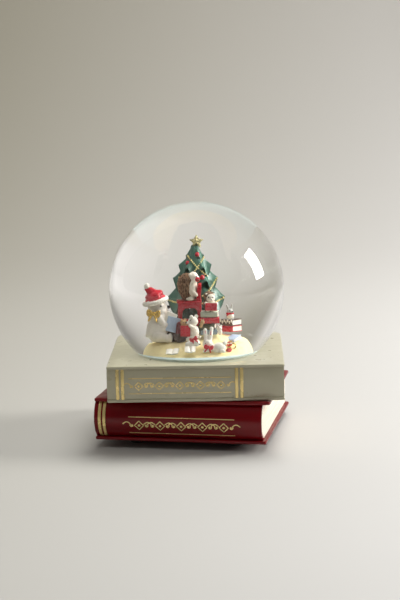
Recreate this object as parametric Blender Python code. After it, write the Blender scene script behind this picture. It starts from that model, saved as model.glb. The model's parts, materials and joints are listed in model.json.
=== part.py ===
"""Musical snow globe on a base of two stacked books, with a scene of animals reading by a tree.

Metres, +Z up. The origin is on the surface the globe stands on, under the middle of the whole
object. The book spines face -Y. The liquid that fills the globe is not modelled as a solid.
Lengths below are written in millimetres and turned into metres by MM when a mesh is made.
"""
import math

import bmesh
import bpy
from mathutils import Matrix, Vector

MM = 0.001
GAP = 0.3                       # clearance that pieces keep to each other

# ---- Driving dimensions, millimetres -------------------------------------------------------
FOOT_HEIGHT = 5.0
FOOT_RADIUS = 4.0
FOOT_REACH = 28.5               # each foot's distance from the book's middle, along X and Y

LOWER_CENTRE = (0.25, 1.56)     # middle of the lower book
LOWER_TURN = -11.6              # degrees about +Z
LOWER_WIDTH = 97.0
LOWER_DEPTH = 90.0
LOWER_THICK = 23.9              # at the spine
LOWER_DROP = 2.6                # the book is this much thinner at its back
LOWER_SPINE = (3.5, 2.5)        # how far the spine starts behind, and rises before, the boards
LOWER_SPINE_INSET = 2.0         # the spine ends short of the boards at the right
BOARD = 1.8
SPINE_WALL = 1.6

UPPER_CENTRE = (2.15, -3.1)
UPPER_TURN = -1.7
UPPER_WIDTH = 98.0
UPPER_DEPTH = 88.0
UPPER_THICK = 20.4
UPPER_SPINE = (0.8, 0.6)
UPPER_CORNER = 8.0              # rounded back corners
PAGE_INSET = 1.8                # page blocks stand back from the boards

GLOBE_AXIS = (2.5, -5.4)
GLOBE_RADIUS = 50.0
GLOBE_WALL = 2.2
GLOBE_LIFT = 35.1               # globe centre above the upper book
NECK_RADIUS = 34.2
NECK_LENGTH = 11.6

BAY_AXIS = (0.0, 1.5)           # round bay that holds the musical movement
BAY_RADIUS = 30.0
RECESS_RADIUS = 35.0            # recess for the base plate, open below
PLATE_BOTTOM = 13.7
PLATE_THICK = 2.0

LOWER_Z = FOOT_HEIGHT
UPPER_Z = LOWER_Z + LOWER_THICK + GAP
TOP_Z = UPPER_Z + UPPER_THICK   # the globe stands on this height
GLOBE_Z = TOP_Z + GLOBE_LIFT
LEDGE_Z = PLATE_BOTTOM + PLATE_THICK + GAP
BAY_TOP = TOP_Z - NECK_LENGTH - 1.4

# Musical movement, measured from the bay's axis and the base plate's top
KEY_X = -13.0                   # winding arbor
TRAIN_Z = 25.8                  # height of the cylinder's axis
CROWN_TEETH, PINION_TEETH = 24, 10
CROWN_RADIUS = 12.0
PINION_RADIUS = CROWN_RADIUS * PINION_TEETH / CROWN_TEETH
CYLINDER_RADIUS = 6.0
CYLINDER_X = (2.0, 17.0)
WHEEL_TEETH, SMALL_TEETH = 24, 8
WHEEL_MODULE = 0.5
TRANSFER_Y = -(WHEEL_TEETH + SMALL_TEETH) * WHEEL_MODULE / 2 - 0.1
WORM_WHEEL_TEETH = 16
WORM_WHEEL_RADIUS = 4.8
WORM_RADIUS = 1.3
WORM_X = 21.0
WORM_Y = TRANSFER_Y - WORM_WHEEL_RADIUS - WORM_RADIUS - 0.6
SHAFT = 1.0
RUNNING = 0.1                   # radial clearance of a turning shaft

# Christmas tree, measured from the globe's axis and the upper book's top
TREE_X, TREE_Y, TREE_TOP = -0.6, 12.0, 50.0
TREE_TIERS = [(3.5, 46.4, 2.2, 45.2), (6.4, 42.8, 3.8, 40.6),      # edge radius and height, then
              (8.7, 37.2, 5.6, 34.6), (11.2, 29.2, 7.2, 24.2)]     # those of the tuck under it


# ---- Materials -----------------------------------------------------------------------------
def material(name, colour, roughness=0.5, metallic=0.0, alpha=1.0):
    found = bpy.data.materials.get(name)
    if found:
        return found
    made = bpy.data.materials.new(name)
    made.use_nodes = True
    shader = made.node_tree.nodes["Principled BSDF"]
    shader.inputs["Base Color"].default_value = (*colour, 1)
    shader.inputs["Roughness"].default_value = roughness
    shader.inputs["Metallic"].default_value = metallic
    shader.inputs["Alpha"].default_value = alpha
    return made


OLIVE = material("olive_cloth", (0.24, 0.21, 0.13), 0.55)
RED_COVER = material("red_cover", (0.16, 0.008, 0.01), 0.25)
PAGES = material("pages", (0.86, 0.78, 0.66), 0.6)
GLASS = material("glass", (0.9, 0.95, 0.95), 0.02, alpha=0.3)
RUBBER = material("rubber", (0.05, 0.05, 0.05), 0.8)
SEAT_BLUE = material("seat_blue", (0.42, 0.52, 0.5), 0.5)
SAND = material("sand", (0.83, 0.72, 0.42), 0.8)
GREEN = material("tree_green", (0.06, 0.16, 0.09), 0.5)
GOLD = material("gold", (0.72, 0.52, 0.2), 0.3, 1.0)
RED = material("red_paint", (0.55, 0.03, 0.04), 0.4)
WHITE = material("white_fur", (0.82, 0.8, 0.74), 0.7)
GREY = material("grey_fur", (0.42, 0.44, 0.44), 0.7)
BROWN = material("brown_fur", (0.28, 0.18, 0.1), 0.7)
BLUE = material("blue_paint", (0.35, 0.45, 0.56), 0.5)
PALE = material("pale_book", (0.62, 0.63, 0.52), 0.5)
DARK = material("dark_book", (0.16, 0.14, 0.08), 0.5)
STEEL = material("steel", (0.6, 0.6, 0.62), 0.3, 1.0)
BRASS = material("brass", (0.75, 0.58, 0.28), 0.3, 1.0)
CAST = material("cast_zinc", (0.45, 0.45, 0.46), 0.5, 1.0)
PLASTIC = material("black_plastic", (0.03, 0.03, 0.03), 0.5)


# ---- Mesh helpers --------------------------------------------------------------------------
def add(name, mesh_maker, look):
    """New object from a bmesh in millimetres, with its faces turned outwards."""
    mesh_maker.normal_update()
    bmesh.ops.recalc_face_normals(mesh_maker, faces=mesh_maker.faces)
    bmesh.ops.scale(mesh_maker, vec=(MM, MM, MM), verts=mesh_maker.verts)
    mesh = bpy.data.meshes.new(name)
    mesh_maker.to_mesh(mesh)
    mesh_maker.free()
    mesh.shade_smooth()
    mesh.set_sharp_from_angle(angle=math.radians(35))
    mesh.materials.append(look)
    made = bpy.data.objects.new(name, mesh)
    bpy.context.scene.collection.objects.link(made)
    return made


def turned(profile, segments=36, centre=(0, 0)):
    """Bmesh turned about a vertical axis. The profile is (radius, height) points; a profile whose
    ends are on the axis closes there, and any other profile closes on itself."""
    bm = bmesh.new()
    rings = []
    for radius, height in profile:
        if radius == 0:
            rings.append([bm.verts.new((centre[0], centre[1], height))])
            continue
        ring = []
        for step in range(segments):
            angle = math.tau * step / segments
            ring.append(bm.verts.new((centre[0] + radius * math.cos(angle),
                                      centre[1] + radius * math.sin(angle), height)))
        rings.append(ring)
    open_ended = len(rings[0]) == 1
    pairs = list(zip(rings, rings[1:])) + ([] if open_ended else [(rings[-1], rings[0])])
    for low, high in pairs:
        for step in range(segments):
            after = (step + 1) % segments
            corners = [low[step % len(low)], low[after % len(low)],
                       high[after % len(high)], high[step % len(high)]]
            bm.faces.new(list(dict.fromkeys(corners)))
    return bm


def extruded(outline, low, high):
    """Bmesh of a flat outline of (x, y) points, raised from one height to another."""
    bm = bmesh.new()
    bottom = [bm.verts.new((x, y, low)) for x, y in outline]
    top = [bm.verts.new((x, y, high)) for x, y in outline]
    bm.faces.new(bottom[::-1])
    bm.faces.new(top)
    for step in range(len(outline)):
        after = (step + 1) % len(outline)
        bm.faces.new([bottom[step], bottom[after], top[after], top[step]])
    return bm


def box(low, high):
    return extruded([(low[0], low[1]), (high[0], low[1]), (high[0], high[1]), (low[0], high[1])],
                    low[2], high[2])


def move(bm, matrix):
    bmesh.ops.transform(bm, matrix=matrix, verts=bm.verts)
    return bm


def cylinder(centre, radius, low, high, segments=24):
    return turned([(0, low), (radius, low), (radius, high), (0, high)], segments, centre)


ALONG_X = Matrix.Rotation(math.radians(90), 4, "Y")     # turns a vertical solid to lie along +X


def lying(profile, segments, y, z):
    """Solid turned about an axis along +X. The profile is (radius, x) points."""
    return move(turned(profile, segments), Matrix.Translation((0, y, z)) @ ALONG_X)


def cutter(bm, name):
    made = add(name, bm, PLASTIC)
    made.hide_render = True
    made.display_type = "WIRE"
    return made


def combine(target, bm, operation="DIFFERENCE"):
    """Boolean of the target with a solid that is made only for it."""
    tool = cutter(bm, f"{target.name}_tool_{len(target.modifiers)}")
    modifier = target.modifiers.new(tool.name, "BOOLEAN")
    modifier.operation = operation
    modifier.solver = "EXACT"
    modifier.object = tool
    return target


def place(turn, centre, height=0.0):
    return (Matrix.Translation((centre[0], centre[1], height))
            @ Matrix.Rotation(math.radians(turn), 4, "Z"))


# ---- Books of the base ---------------------------------------------------------------------
ACROSS = Matrix(((0, 0, 1, 0), (1, 0, 0, 0), (0, 1, 0, 0), (0, 0, 0, 1)))   # (y, z) section along X


def spine_arc(front, spine, low, high, offset, steps=8):
    """Points of a round spine in (y, z), from the lower board to the upper one."""
    hollow, proud = spine
    half = (high - low) / 2
    sagitta = hollow + proud
    radius = (half ** 2 + sagitta ** 2) / (2 * sagitta)
    reach = math.asin(half / radius)
    middle = front - proud + radius
    points = []
    for step in range(steps + 1):
        angle = reach * (2 * step / steps - 1)
        points.append((middle - (radius - offset) * math.cos(angle),
                       (low + high) / 2 + (radius - offset) * math.sin(angle)))
    return points


def book_cover(name, size, drop, spine, corner, look, where):
    """Two boards joined by a round spine, with rounded back corners if corner isn't 0."""
    width, depth, thick = size
    front, back = -depth / 2, depth / 2
    arc_low, arc_high = BOARD * 0.7, thick - BOARD * 0.7
    outer = spine_arc(front, spine, arc_low, arc_high, 0)
    inner = [point for point in spine_arc(front, spine, arc_low, arc_high, SPINE_WALL)
             if BOARD < point[1] < thick - BOARD]
    outer = [point for point in outer if BOARD < point[1] < thick - BOARD]
    edge = front + spine[0] - 0.4
    profile = ([(front, 0), (back, 0), (back, BOARD), (edge + SPINE_WALL, BOARD)] + inner
               + [(edge + SPINE_WALL, thick - BOARD), (back, thick - drop - BOARD),
                  (back, thick - drop), (front, thick), (front, thick - BOARD), (edge, thick - BOARD)]
               + outer[::-1] + [(edge, BOARD), (front, BOARD)])
    made = add(name, move(extruded(profile, -width / 2, width / 2), where @ ACROSS), look)
    if corner:
        for side in (-1, 1):
            combine(made, move(corner_block(side * width / 2, back, side, corner, thick), where))
    return made


def corner_block(x, y, side, radius, thick):
    """The waste outside one rounded back corner, as a solid to cut away."""
    points = [(x + side, y + 1), (x - side * radius, y + 1)]
    for step in range(7):
        angle = math.radians(90 - 15 * step)
        points.append((x - side * radius * (1 - math.cos(angle)), y - radius * (1 - math.sin(angle))))
    points.append((x + side, y - radius))
    return extruded(points if side < 0 else points[::-1], -1, thick + 1)


def page_block(name, size, drop, spine, corner, back_inset, where):
    """Pages between the boards, with a front that follows the round spine."""
    width, depth, thick = size
    front, back = -depth / 2, depth / 2 - back_inset
    low, high = BOARD + GAP, thick - BOARD - GAP
    half = width / 2 - PAGE_INSET
    arc = [point for point in spine_arc(front, spine, BOARD * 0.7, thick - BOARD * 0.7, SPINE_WALL + GAP)
           if low < point[1] < high]
    edge = front + spine[0] + SPINE_WALL + GAP
    back_high = high - drop * (back - front) / depth
    profile = [(edge, low)] + arc + [(edge, high), (back, back_high), (back, low)]
    made = add(name, move(extruded(profile[::-1], -half, half), where @ ACROSS), PAGES)
    if corner:
        for side in (-1, 1):
            combine(made, move(corner_block(side * half, back, side, corner, thick), where))
    return made


def books():
    lower = place(LOWER_TURN, LOWER_CENTRE, LOWER_Z)
    upper = place(UPPER_TURN, UPPER_CENTRE, UPPER_Z)
    lower_size = (LOWER_WIDTH, LOWER_DEPTH, LOWER_THICK)
    upper_size = (UPPER_WIDTH, UPPER_DEPTH, UPPER_THICK)
    cover = book_cover("lower_book_cover", lower_size, LOWER_DROP, LOWER_SPINE, 0, RED_COVER, lower)
    notch = box((LOWER_WIDTH / 2 - LOWER_SPINE_INSET, -LOWER_DEPTH / 2 - 3, BOARD + 0.6),
                (LOWER_WIDTH / 2 + 1, -LOWER_DEPTH / 2 + 12, LOWER_THICK - BOARD - 0.6))
    combine(cover, move(notch, lower))
    pieces = [cover,
              page_block("lower_book_pages", lower_size, LOWER_DROP, LOWER_SPINE, 0, 2.0, lower),
              book_cover("upper_book_cover", upper_size, 0, UPPER_SPINE, UPPER_CORNER, OLIVE, upper),
              page_block("upper_book_pages", upper_size, 0, UPPER_SPINE, UPPER_CORNER - 1, PAGE_INSET,
                         upper)]
    for made in pieces:
        for space in bay_cutters(made.name):
            combine(made, space)


def bay_cutters(name):
    """The round spaces inside the base that pass through a book, in world millimetres."""
    recess = cylinder(BAY_AXIS, RECESS_RADIUS, LOWER_Z - 1, LEDGE_Z, 30)
    bay = cylinder(BAY_AXIS, BAY_RADIUS, LEDGE_Z - 0.01, BAY_TOP, 30)
    neck = cylinder(GLOBE_AXIS, NECK_RADIUS + GAP, BAY_TOP - 0.01, TOP_Z + 1, 30)
    wells = [cylinder(at, 1.0, LEDGE_Z - 1, 22.5, 8) for at in plate_screw_places()]
    return {"lower_book_cover": [recess, bay], "lower_book_pages": [recess, bay] + wells,
            "upper_book_cover": [bay, neck], "upper_book_pages": [bay, neck]}[name]


def plate_screw_places():
    radius = (BAY_RADIUS + RECESS_RADIUS) / 2
    return [(BAY_AXIS[0] + radius * math.cos(math.radians(angle)),
             BAY_AXIS[1] + radius * math.sin(math.radians(angle))) for angle in (45, 135, 225, 315)]


def screw(name, at, head_z, length, head=1.9, shank=0.8, upward=True):
    """Pan-head screw. Its head's underside is at head_z."""
    way = 1 if upward else -1
    rim = head_z - way * 1.1
    profile = [(0, rim), (head * 0.8, rim), (head, rim + way * 0.4), (head, head_z),
               (shank, head_z), (shank, head_z + way * (length - 0.5)),
               (0, head_z + way * length)]
    made = add(name, turned(profile, 10, at), STEEL)
    slot = box((at[0] - head, at[1] - 0.25, min(rim, rim + way * 0.4) - (0.0 if not upward else 1.0)),
               (at[0] + head, at[1] + 0.25, max(rim, rim + way * 0.4) + (1.0 if not upward else 0.0)))
    combine(made, slot)
    return made


def base_hardware():
    plate = add("base_plate", cylinder(BAY_AXIS, RECESS_RADIUS - 0.5, PLATE_BOTTOM,
                                       PLATE_BOTTOM + PLATE_THICK, 28), PLASTIC)
    combine(plate, cylinder(in_bay(KEY_X, 0), 3.0, PLATE_BOTTOM - 1, PLATE_BOTTOM + 4))
    for at in plate_screw_places() + movement_screw_places():
        combine(plate, cylinder(at, 0.8 + GAP, PLATE_BOTTOM - 1, PLATE_BOTTOM + 4, 8))
    for count, at in enumerate(plate_screw_places(), 1):
        screw(f"plate_screw_{count}", at, PLATE_BOTTOM - GAP, 8.0)
    for count, at in enumerate(movement_screw_places(), 1):
        screw(f"movement_screw_{count}", at, PLATE_BOTTOM - GAP, 4.0)

    lower = place(LOWER_TURN, LOWER_CENTRE)
    for count, (x, y) in enumerate(((-1, -1), (1, -1), (1, 1), (-1, 1)), 1):
        at = lower @ Vector((x * FOOT_REACH, y * FOOT_REACH, 0))
        top = FOOT_HEIGHT - GAP
        add(f"foot_{count}", turned([(0, 0), (FOOT_RADIUS - 0.8, 0), (FOOT_RADIUS, 0.8),
                                     (FOOT_RADIUS, top), (0, top)], 16, (at.x, at.y)), RUBBER)


# ---- Globe ---------------------------------------------------------------------------------
def globe():
    """Glass globe whose neck goes down into the upper book, its stopper and the seat disc."""
    inside = GLOBE_RADIUS - GLOBE_WALL
    low_z = TOP_Z + GAP
    neck_bottom = TOP_Z - NECK_LENGTH
    outer_start = math.acos((low_z - GLOBE_Z) / GLOBE_RADIUS)
    inner_start = math.acos((low_z - GLOBE_Z) / inside)
    neck_inside = NECK_RADIUS - GLOBE_WALL
    steps = 12
    equator = math.pi / 2
    angles = [outer_start + (equator - outer_start) * step / 4 for step in range(4)]
    angles += [equator * (1 - step / 8) for step in range(9)]
    profile = [(neck_inside, low_z - 1.2), (neck_inside, neck_bottom), (NECK_RADIUS, neck_bottom),
               (NECK_RADIUS, low_z)]
    for angle in angles:
        profile.append((GLOBE_RADIUS * math.sin(angle), GLOBE_Z + GLOBE_RADIUS * math.cos(angle)))
    wall = [(inside * math.sin(inner_start * step / steps),
             GLOBE_Z + inside * math.cos(inner_start * step / steps)) for step in range(steps + 1)]
    shell = turned_shell(profile, wall)
    add("glass_globe", shell, GLASS)

    plug = neck_inside - GAP
    flange = NECK_RADIUS - 0.6
    add("rubber_stopper", turned([(0, neck_bottom - 1.0), (flange, neck_bottom - 1.0),
                                  (flange, neck_bottom - GAP), (plug, neck_bottom - GAP),
                                  (plug, low_z - 0.6), (0, low_z - 0.6)], 28, GLOBE_AXIS), RUBBER)
    add("seat_disc", turned([(0, low_z), (31.8, low_z), (34.2, low_z + 2.4), (0, low_z + 2.4)],
                            36, GLOBE_AXIS), SEAT_BLUE)


def turned_shell(outer, inner, segments=32):
    """Shell turned about the globe's axis: both walls meet the axis at the top, and join below."""
    path = outer[:-1] + [(0, outer[-1][1])] + [(0, inner[0][1])] + inner[1:]
    bm = bmesh.new()
    rings = []
    for radius, height in path:
        count = 1 if radius == 0 else segments
        rings.append([bm.verts.new((GLOBE_AXIS[0] + radius * math.cos(math.tau * step / segments),
                                    GLOBE_AXIS[1] + radius * math.sin(math.tau * step / segments),
                                    height)) for step in range(count)])
    for low, high in zip(rings, rings[1:] + rings[:1]):
        if len(low) == 1 and len(high) == 1:
            continue
        for step in range(segments):
            after = (step + 1) % segments
            corners = [low[step % len(low)], low[after % len(low)],
                       high[after % len(high)], high[step % len(high)]]
            bm.faces.new(list(dict.fromkeys(corners)))
    return bm


# ---- Musical movement ----------------------------------------------------------------------
def in_bay(x, y):
    return BAY_AXIS[0] + x, BAY_AXIS[1] + y


def movement_screw_places():
    return [in_bay(-24.5, 9.5), in_bay(12.0, -14.0)]


def gear_outline(teeth, pitch_radius, tip, root, share=0.42):
    """Spur gear outline with a straight-sided tooth centred on angle 0."""
    pitch = math.tau / teeth
    points = []
    for tooth in range(teeth):
        middle = pitch * tooth
        for offset, radius in ((-0.5 * share - 0.14, pitch_radius - root),
                               (-0.5 * share + 0.1, pitch_radius + tip),
                               (0.5 * share - 0.1, pitch_radius + tip),
                               (0.5 * share + 0.14, pitch_radius - root)):
            angle = middle + offset * pitch
            points.append((radius * math.cos(angle), radius * math.sin(angle)))
    return points


def spur_gear(teeth, pitch_radius, tip, root, x_low, x_high, y, z, phase):
    """Gear on an axis along +X. phase is the angle of one tooth, from -Z towards -Y."""
    bm = extruded(gear_outline(teeth, pitch_radius, tip, root), x_low, x_high)
    turn = Matrix.Rotation(phase, 4, "Z")
    return move(bm, Matrix.Translation((0, y, z)) @ ALONG_X @ turn)


def movement():
    bay_x, bay_y = BAY_AXIS
    here = Matrix.Translation((bay_x, bay_y, 0))
    bed_z = LEDGE_Z
    bed_top = bed_z + 2.0

    # Bed with its two cheeks and the comb's pedestal
    outline = [(-26, -10), (-21, -15), (5, -17), (24, -17), (24, 12), (21, 15), (-21, 15), (-26, 10)]
    frame = add("movement_frame", move(extruded(outline, bed_z, bed_top), here), CAST)
    combine(frame, move(box((0.3, -5, bed_z + 0.5), (1.5, 5, TRAIN_Z + 4)), here), "UNION")
    combine(frame, move(box((22.6, -12, bed_z + 0.5), (23.8, 4, TRAIN_Z + 4)), here), "UNION")
    combine(frame, move(box((1.8, 11, bed_z + 0.5), (17.2, 14.6, TRAIN_Z - 0.8)), here), "UNION")
    combine(frame, cylinder(in_bay(KEY_X, 0), 1.6 + RUNNING, bed_z - 1, bed_top + 1, 16))
    combine(frame, cylinder(in_bay(WORM_X, WORM_Y), 0.6 + RUNNING, bed_z - 1, bed_top + 1, 12))
    for y in (0, TRANSFER_Y):
        bore = lying([(0, -1), (SHAFT + RUNNING, -1), (SHAFT + RUNNING, 26), (0, 26)], 16, y, TRAIN_Z)
        combine(frame, move(bore, here))
    for at in movement_screw_places():
        combine(frame, cylinder(at, 0.8 + GAP, bed_z - 1, bed_top + 1, 12))
    for at in comb_screw_places():
        combine(frame, cylinder(at, 0.7, TRAIN_Z - 5.5, TRAIN_Z, 12))

    # Great wheel: a crown wheel on the winding arbor
    wheel_low = bed_top + GAP
    wheel_top = wheel_low + 1.6
    tooth_top = wheel_top + 1.1
    wheel = add("great_wheel", turned([(0, 10.4), (1.6, 10.4), (1.6, wheel_low), (13.0, wheel_low),
                                       (13.0, wheel_top), (1.6, wheel_top), (1.6, 30.0), (0, 30.0)],
                                      CROWN_TEETH, in_bay(KEY_X, 0)), BRASS)
    teeth = bmesh.new()
    for tooth in range(CROWN_TEETH):
        middle = math.tau * (tooth + 0.5) / CROWN_TEETH
        half = 0.17 * math.tau / CROWN_TEETH
        ends = [(radius, angle) for radius, angle in ((10.9, middle - half), (12.8, middle - half),
                                                      (12.8, middle + half), (10.9, middle + half))]
        corners = [(radius * math.cos(angle), radius * math.sin(angle)) for radius, angle in ends]
        join_mesh(teeth, extruded(corners, wheel_top - 0.3, tooth_top))
    combine(wheel, move(teeth, Matrix.Translation((*in_bay(KEY_X, 0), 0))), "UNION")

    # Spring housing: an inverted cup on a strap with two legs, and the mainspring in it
    cup_low = tooth_top + GAP
    housing = add("spring_housing", turned([(2.2, 31.0), (9.6, 31.0), (9.6, cup_low), (10.4, cup_low),
                                            (10.4, 31.8), (2.2, 31.8)], 20, in_bay(KEY_X, 0)), CAST)
    for side in (-1, 1):
        arm = box((KEY_X - 2.2, side * 12.0 - 2.2, cup_low), (KEY_X + 2.2, side * 12.0 + 2.2, cup_low + 1.4))
        combine(housing, move(arm, here), "UNION")
        leg = box((KEY_X - 2.2, side * 13.9 - 0.6, bed_top + GAP),
                  (KEY_X + 2.2, side * 13.9 + 0.6, cup_low + 1))
        combine(housing, move(leg, here), "UNION")
    add("mainspring", move(spiral(2.6, 8.9, 3.5, 0.35, cup_low + 0.6, 30.4),
                           Matrix.Translation((*in_bay(KEY_X, 0), 0))), STEEL)

    # Winding key under the base plate
    key = add("winding_key", turned([(0, 8.0), (3.0, 8.0), (3.0, 13.0), (1.9, 13.0),
                                     (1.9, 10.1), (0, 10.1)], 20, in_bay(KEY_X, 0)), STEEL)
    combine(key, move(key_wings(), Matrix.Translation((*in_bay(KEY_X, 0), 0))), "UNION")

    # Pinned cylinder, its pinion and its wheel
    low_x, high_x = CYLINDER_X
    drum = pinned_cylinder(low_x, high_x)
    cylinder_piece = add("pin_cylinder", move(drum, here), BRASS)
    pinion = spur_gear(PINION_TEETH, PINION_RADIUS, 0.6, 0.9, -2.0, 0.0, 0, TRAIN_Z, 0)
    combine(cylinder_piece, move(pinion, here), "UNION")
    shaft = lying([(0, -2.3), (SHAFT, -2.3), (SHAFT, 23.5), (0, 23.5)], 12, 0, TRAIN_Z)
    combine(cylinder_piece, move(shaft, here), "UNION")
    wheel_radius = WHEEL_TEETH * WHEEL_MODULE / 2
    gear = spur_gear(WHEEL_TEETH, wheel_radius, 0.3, 0.5, high_x - 0.2, high_x + 1.4, 0, TRAIN_Z,
                     math.pi / 2)
    combine(cylinder_piece, move(gear, here), "UNION")

    # Transfer wheel: small pinion and worm wheel on one shaft
    small_radius = SMALL_TEETH * WHEEL_MODULE / 2
    half_tooth = math.pi / SMALL_TEETH
    small = spur_gear(SMALL_TEETH, small_radius, 0.3, 0.5, high_x + 0.3, high_x + 2.6,
                      TRANSFER_Y, TRAIN_Z, -math.pi / 2 + half_tooth)
    transfer = add("transfer_wheel", move(small, here), BRASS)
    worm_wheel = spur_gear(WORM_WHEEL_TEETH, WORM_WHEEL_RADIUS, 0.45, 0.5, WORM_X - 0.7, WORM_X + 0.7,
                           TRANSFER_Y, TRAIN_Z, 0)
    combine(transfer, move(worm_wheel, here), "UNION")
    shaft = lying([(0, high_x - 1), (0.9, high_x - 1), (0.9, 23.5), (0, 23.5)], 12, TRANSFER_Y, TRAIN_Z)
    combine(transfer, move(shaft, here), "UNION")

    # Governor: worm and fan on a vertical spindle, and the bracket over it
    at = in_bay(WORM_X, WORM_Y)
    thread = [(0, bed_z + 0.4), (0.6, bed_z + 0.4), (0.6, 22.0)]
    for turn in range(4):
        low = 22.6 + 1.5 * turn
        thread += [(1.0, low), (WORM_RADIUS, low + 0.4), (WORM_RADIUS, low + 0.8), (1.0, low + 1.2)]
    thread += [(0.6, 29.0), (0.6, 34.6), (0, 34.6)]
    governor = add("governor", turned(thread, 10, at), STEEL)
    for turn in (0, 90):
        blade = move(box((-3.4, -0.3, 31.0), (3.4, 0.3, 33.6)), Matrix.Rotation(math.radians(turn), 4, "Z"))
        combine(governor, move(blade, Matrix.Translation((*at, 0))), "UNION")
    arm = box((WORM_X - 6.6, WORM_Y - 1.8, 34.0), (WORM_X + 1.8, WORM_Y + 1.8, 35.0))
    bracket = add("governor_bracket", move(arm, here), CAST)
    post = box((WORM_X - 6.6, WORM_Y - 1.8, bed_top + GAP), (WORM_X - 5.4, WORM_Y + 1.8, 34.5))
    combine(bracket, move(post, here), "UNION")
    combine(bracket, cylinder(at, 0.6 + RUNNING, 33, 36, 12))

    comb()


def join_mesh(target, other):
    """Copies one bmesh into another, and frees it."""
    spare = bpy.data.meshes.new("spare")
    other.to_mesh(spare)
    other.free()
    target.from_mesh(spare)
    bpy.data.meshes.remove(spare)
    return target


def spiral(start, end, turns, thick, low, high):
    """Flat spring strip wound outwards, as a raised spiral outline."""
    steps = int(turns * 12)
    inner = []
    outer = []
    for step in range(steps + 1):
        angle = math.tau * turns * step / steps
        radius = start + (end - start) * step / steps
        inner.append((radius * math.cos(angle), radius * math.sin(angle)))
        outer.append(((radius + thick) * math.cos(angle), (radius + thick) * math.sin(angle)))
    return extruded(inner + outer[::-1], low, high)


def key_wings():
    """Butterfly wings of the key, standing in the XZ plane."""
    outline = []
    for step in range(32):
        angle = math.tau * step / 32
        reach = 10.5 * (0.32 + 0.68 * abs(math.cos(angle)))
        outline.append((reach * math.cos(angle), 6.4 + 3.2 * math.sin(angle)))
    bm = extruded(outline, -0.8, 0.8)
    return move(bm, Matrix.Rotation(math.radians(90), 4, "X"))


def pinned_cylinder(low_x, high_x, segments=16, tracks=8):
    """Drum with a few raised pins on each track, made by extruding faces of its own grid."""
    profile = [(0, low_x)]
    for track in range(tracks + 1):
        profile.append((CYLINDER_RADIUS, low_x + (high_x - low_x) * track / tracks))
    profile.append((0, high_x))
    bm = turned(profile, segments)
    bm.faces.ensure_lookup_table()
    grid = [face for face in bm.faces if len(face.verts) == 4]
    bm.normal_update()
    bmesh.ops.recalc_face_normals(bm, faces=bm.faces)
    pins = [grid[(count * 29) % len(grid)] for count in range(12)]
    bmesh.ops.inset_individual(bm, faces=pins, thickness=0.5)
    raised = bmesh.ops.extrude_discrete_faces(bm, faces=pins)["faces"]
    for face in raised:
        bmesh.ops.translate(bm, vec=face.normal * 0.3, verts=face.verts)
    return move(bm, Matrix.Translation((0, 0, TRAIN_Z)) @ ALONG_X)


def comb_screw_places():
    return [in_bay(5.5, 12.9), in_bay(13.5, 12.9)]


def comb():
    """Steel comb of 18 teeth, screwed on its pedestal with the tips beside the pins."""
    teeth = 18
    low_x, high_x = CYLINDER_X
    pitch = (high_x - low_x) / teeth
    tip_y = CYLINDER_RADIUS + 0.6
    outline = [(low_x, 14.6), (low_x, 10.8)]
    for tooth in range(teeth):
        left = low_x + pitch * (tooth + 0.2)
        right = low_x + pitch * (tooth + 0.8)
        outline += [(left, 10.8), (left, tip_y), (right, tip_y), (right, 10.8)]
    outline += [(high_x, 10.8), (high_x, 14.6)]
    here = Matrix.Translation((*BAY_AXIS, 0))
    made = add("comb", move(extruded(outline, TRAIN_Z - 0.5, TRAIN_Z + 0.5), here), STEEL)
    for count, at in enumerate(comb_screw_places(), 1):
        combine(made, cylinder(at, 0.8, TRAIN_Z - 2, TRAIN_Z + 2, 12))
        screw(f"comb_screw_{count}", at, TRAIN_Z + 0.5 + GAP, 5.0, head=1.4, shank=0.5, upward=False)


# ---- The scene in the globe, in millimetres from the globe's axis and the book's top --------
def in_globe(bm):
    return move(bm, Matrix.Translation((*GLOBE_AXIS, TOP_Z)))


def ground_height(x, y):
    """Sandy mound: a plateau that falls away to the seat disc's edge, steeper in front, with a
    rise under the book stacks."""
    reach = math.hypot(0.9 * x, 1.2 * y) if y < 0 else math.hypot(0.9 * x, y)
    fall = min(max((reach - 16) / 17, 0), 1)
    fall = fall * fall * (3 - 2 * fall)
    hill = 3.6 * math.exp(-((x - 6) ** 2 + y ** 2) / 160)
    return 3.3 + (9.2 + hill) * (1 - fall)


def ground():
    bm = bmesh.new()
    segments = 24
    radii = [8, 15, 20, 25, 29, 33.4]
    top = [[bm.verts.new((0, 0, ground_height(0, 0)))]]
    for radius in radii:
        top.append([bm.verts.new((radius * math.cos(math.tau * step / segments),
                                  radius * math.sin(math.tau * step / segments),
                                  ground_height(radius * math.cos(math.tau * step / segments),
                                                radius * math.sin(math.tau * step / segments))))
                    for step in range(segments)])
    under = [bm.verts.new((vert.co.x, vert.co.y, 2.4 + 2 * GAP)) for vert in top[-1]]
    middle = [bm.verts.new((0, 0, 2.4 + 2 * GAP))]
    rings = top + [under, middle]
    for low, high in zip(rings, rings[1:]):
        for step in range(segments):
            after = (step + 1) % segments
            corners = [low[step % len(low)], low[after % len(low)],
                       high[after % len(high)], high[step % len(high)]]
            bm.faces.new(list(dict.fromkeys(corners)))
    add("sand_ground", in_globe(bm), SAND)


def ball(centre, radii, tilt=0.0):
    """Ellipsoid, tilted about the Y axis by an angle in degrees."""
    bm = bmesh.new()
    bmesh.ops.create_icosphere(bm, subdivisions=2, radius=1)
    return move(bm, Matrix.Translation(centre) @ Matrix.Rotation(math.radians(tilt), 4, "Y")
                @ Matrix.Diagonal((*radii, 1)))


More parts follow.
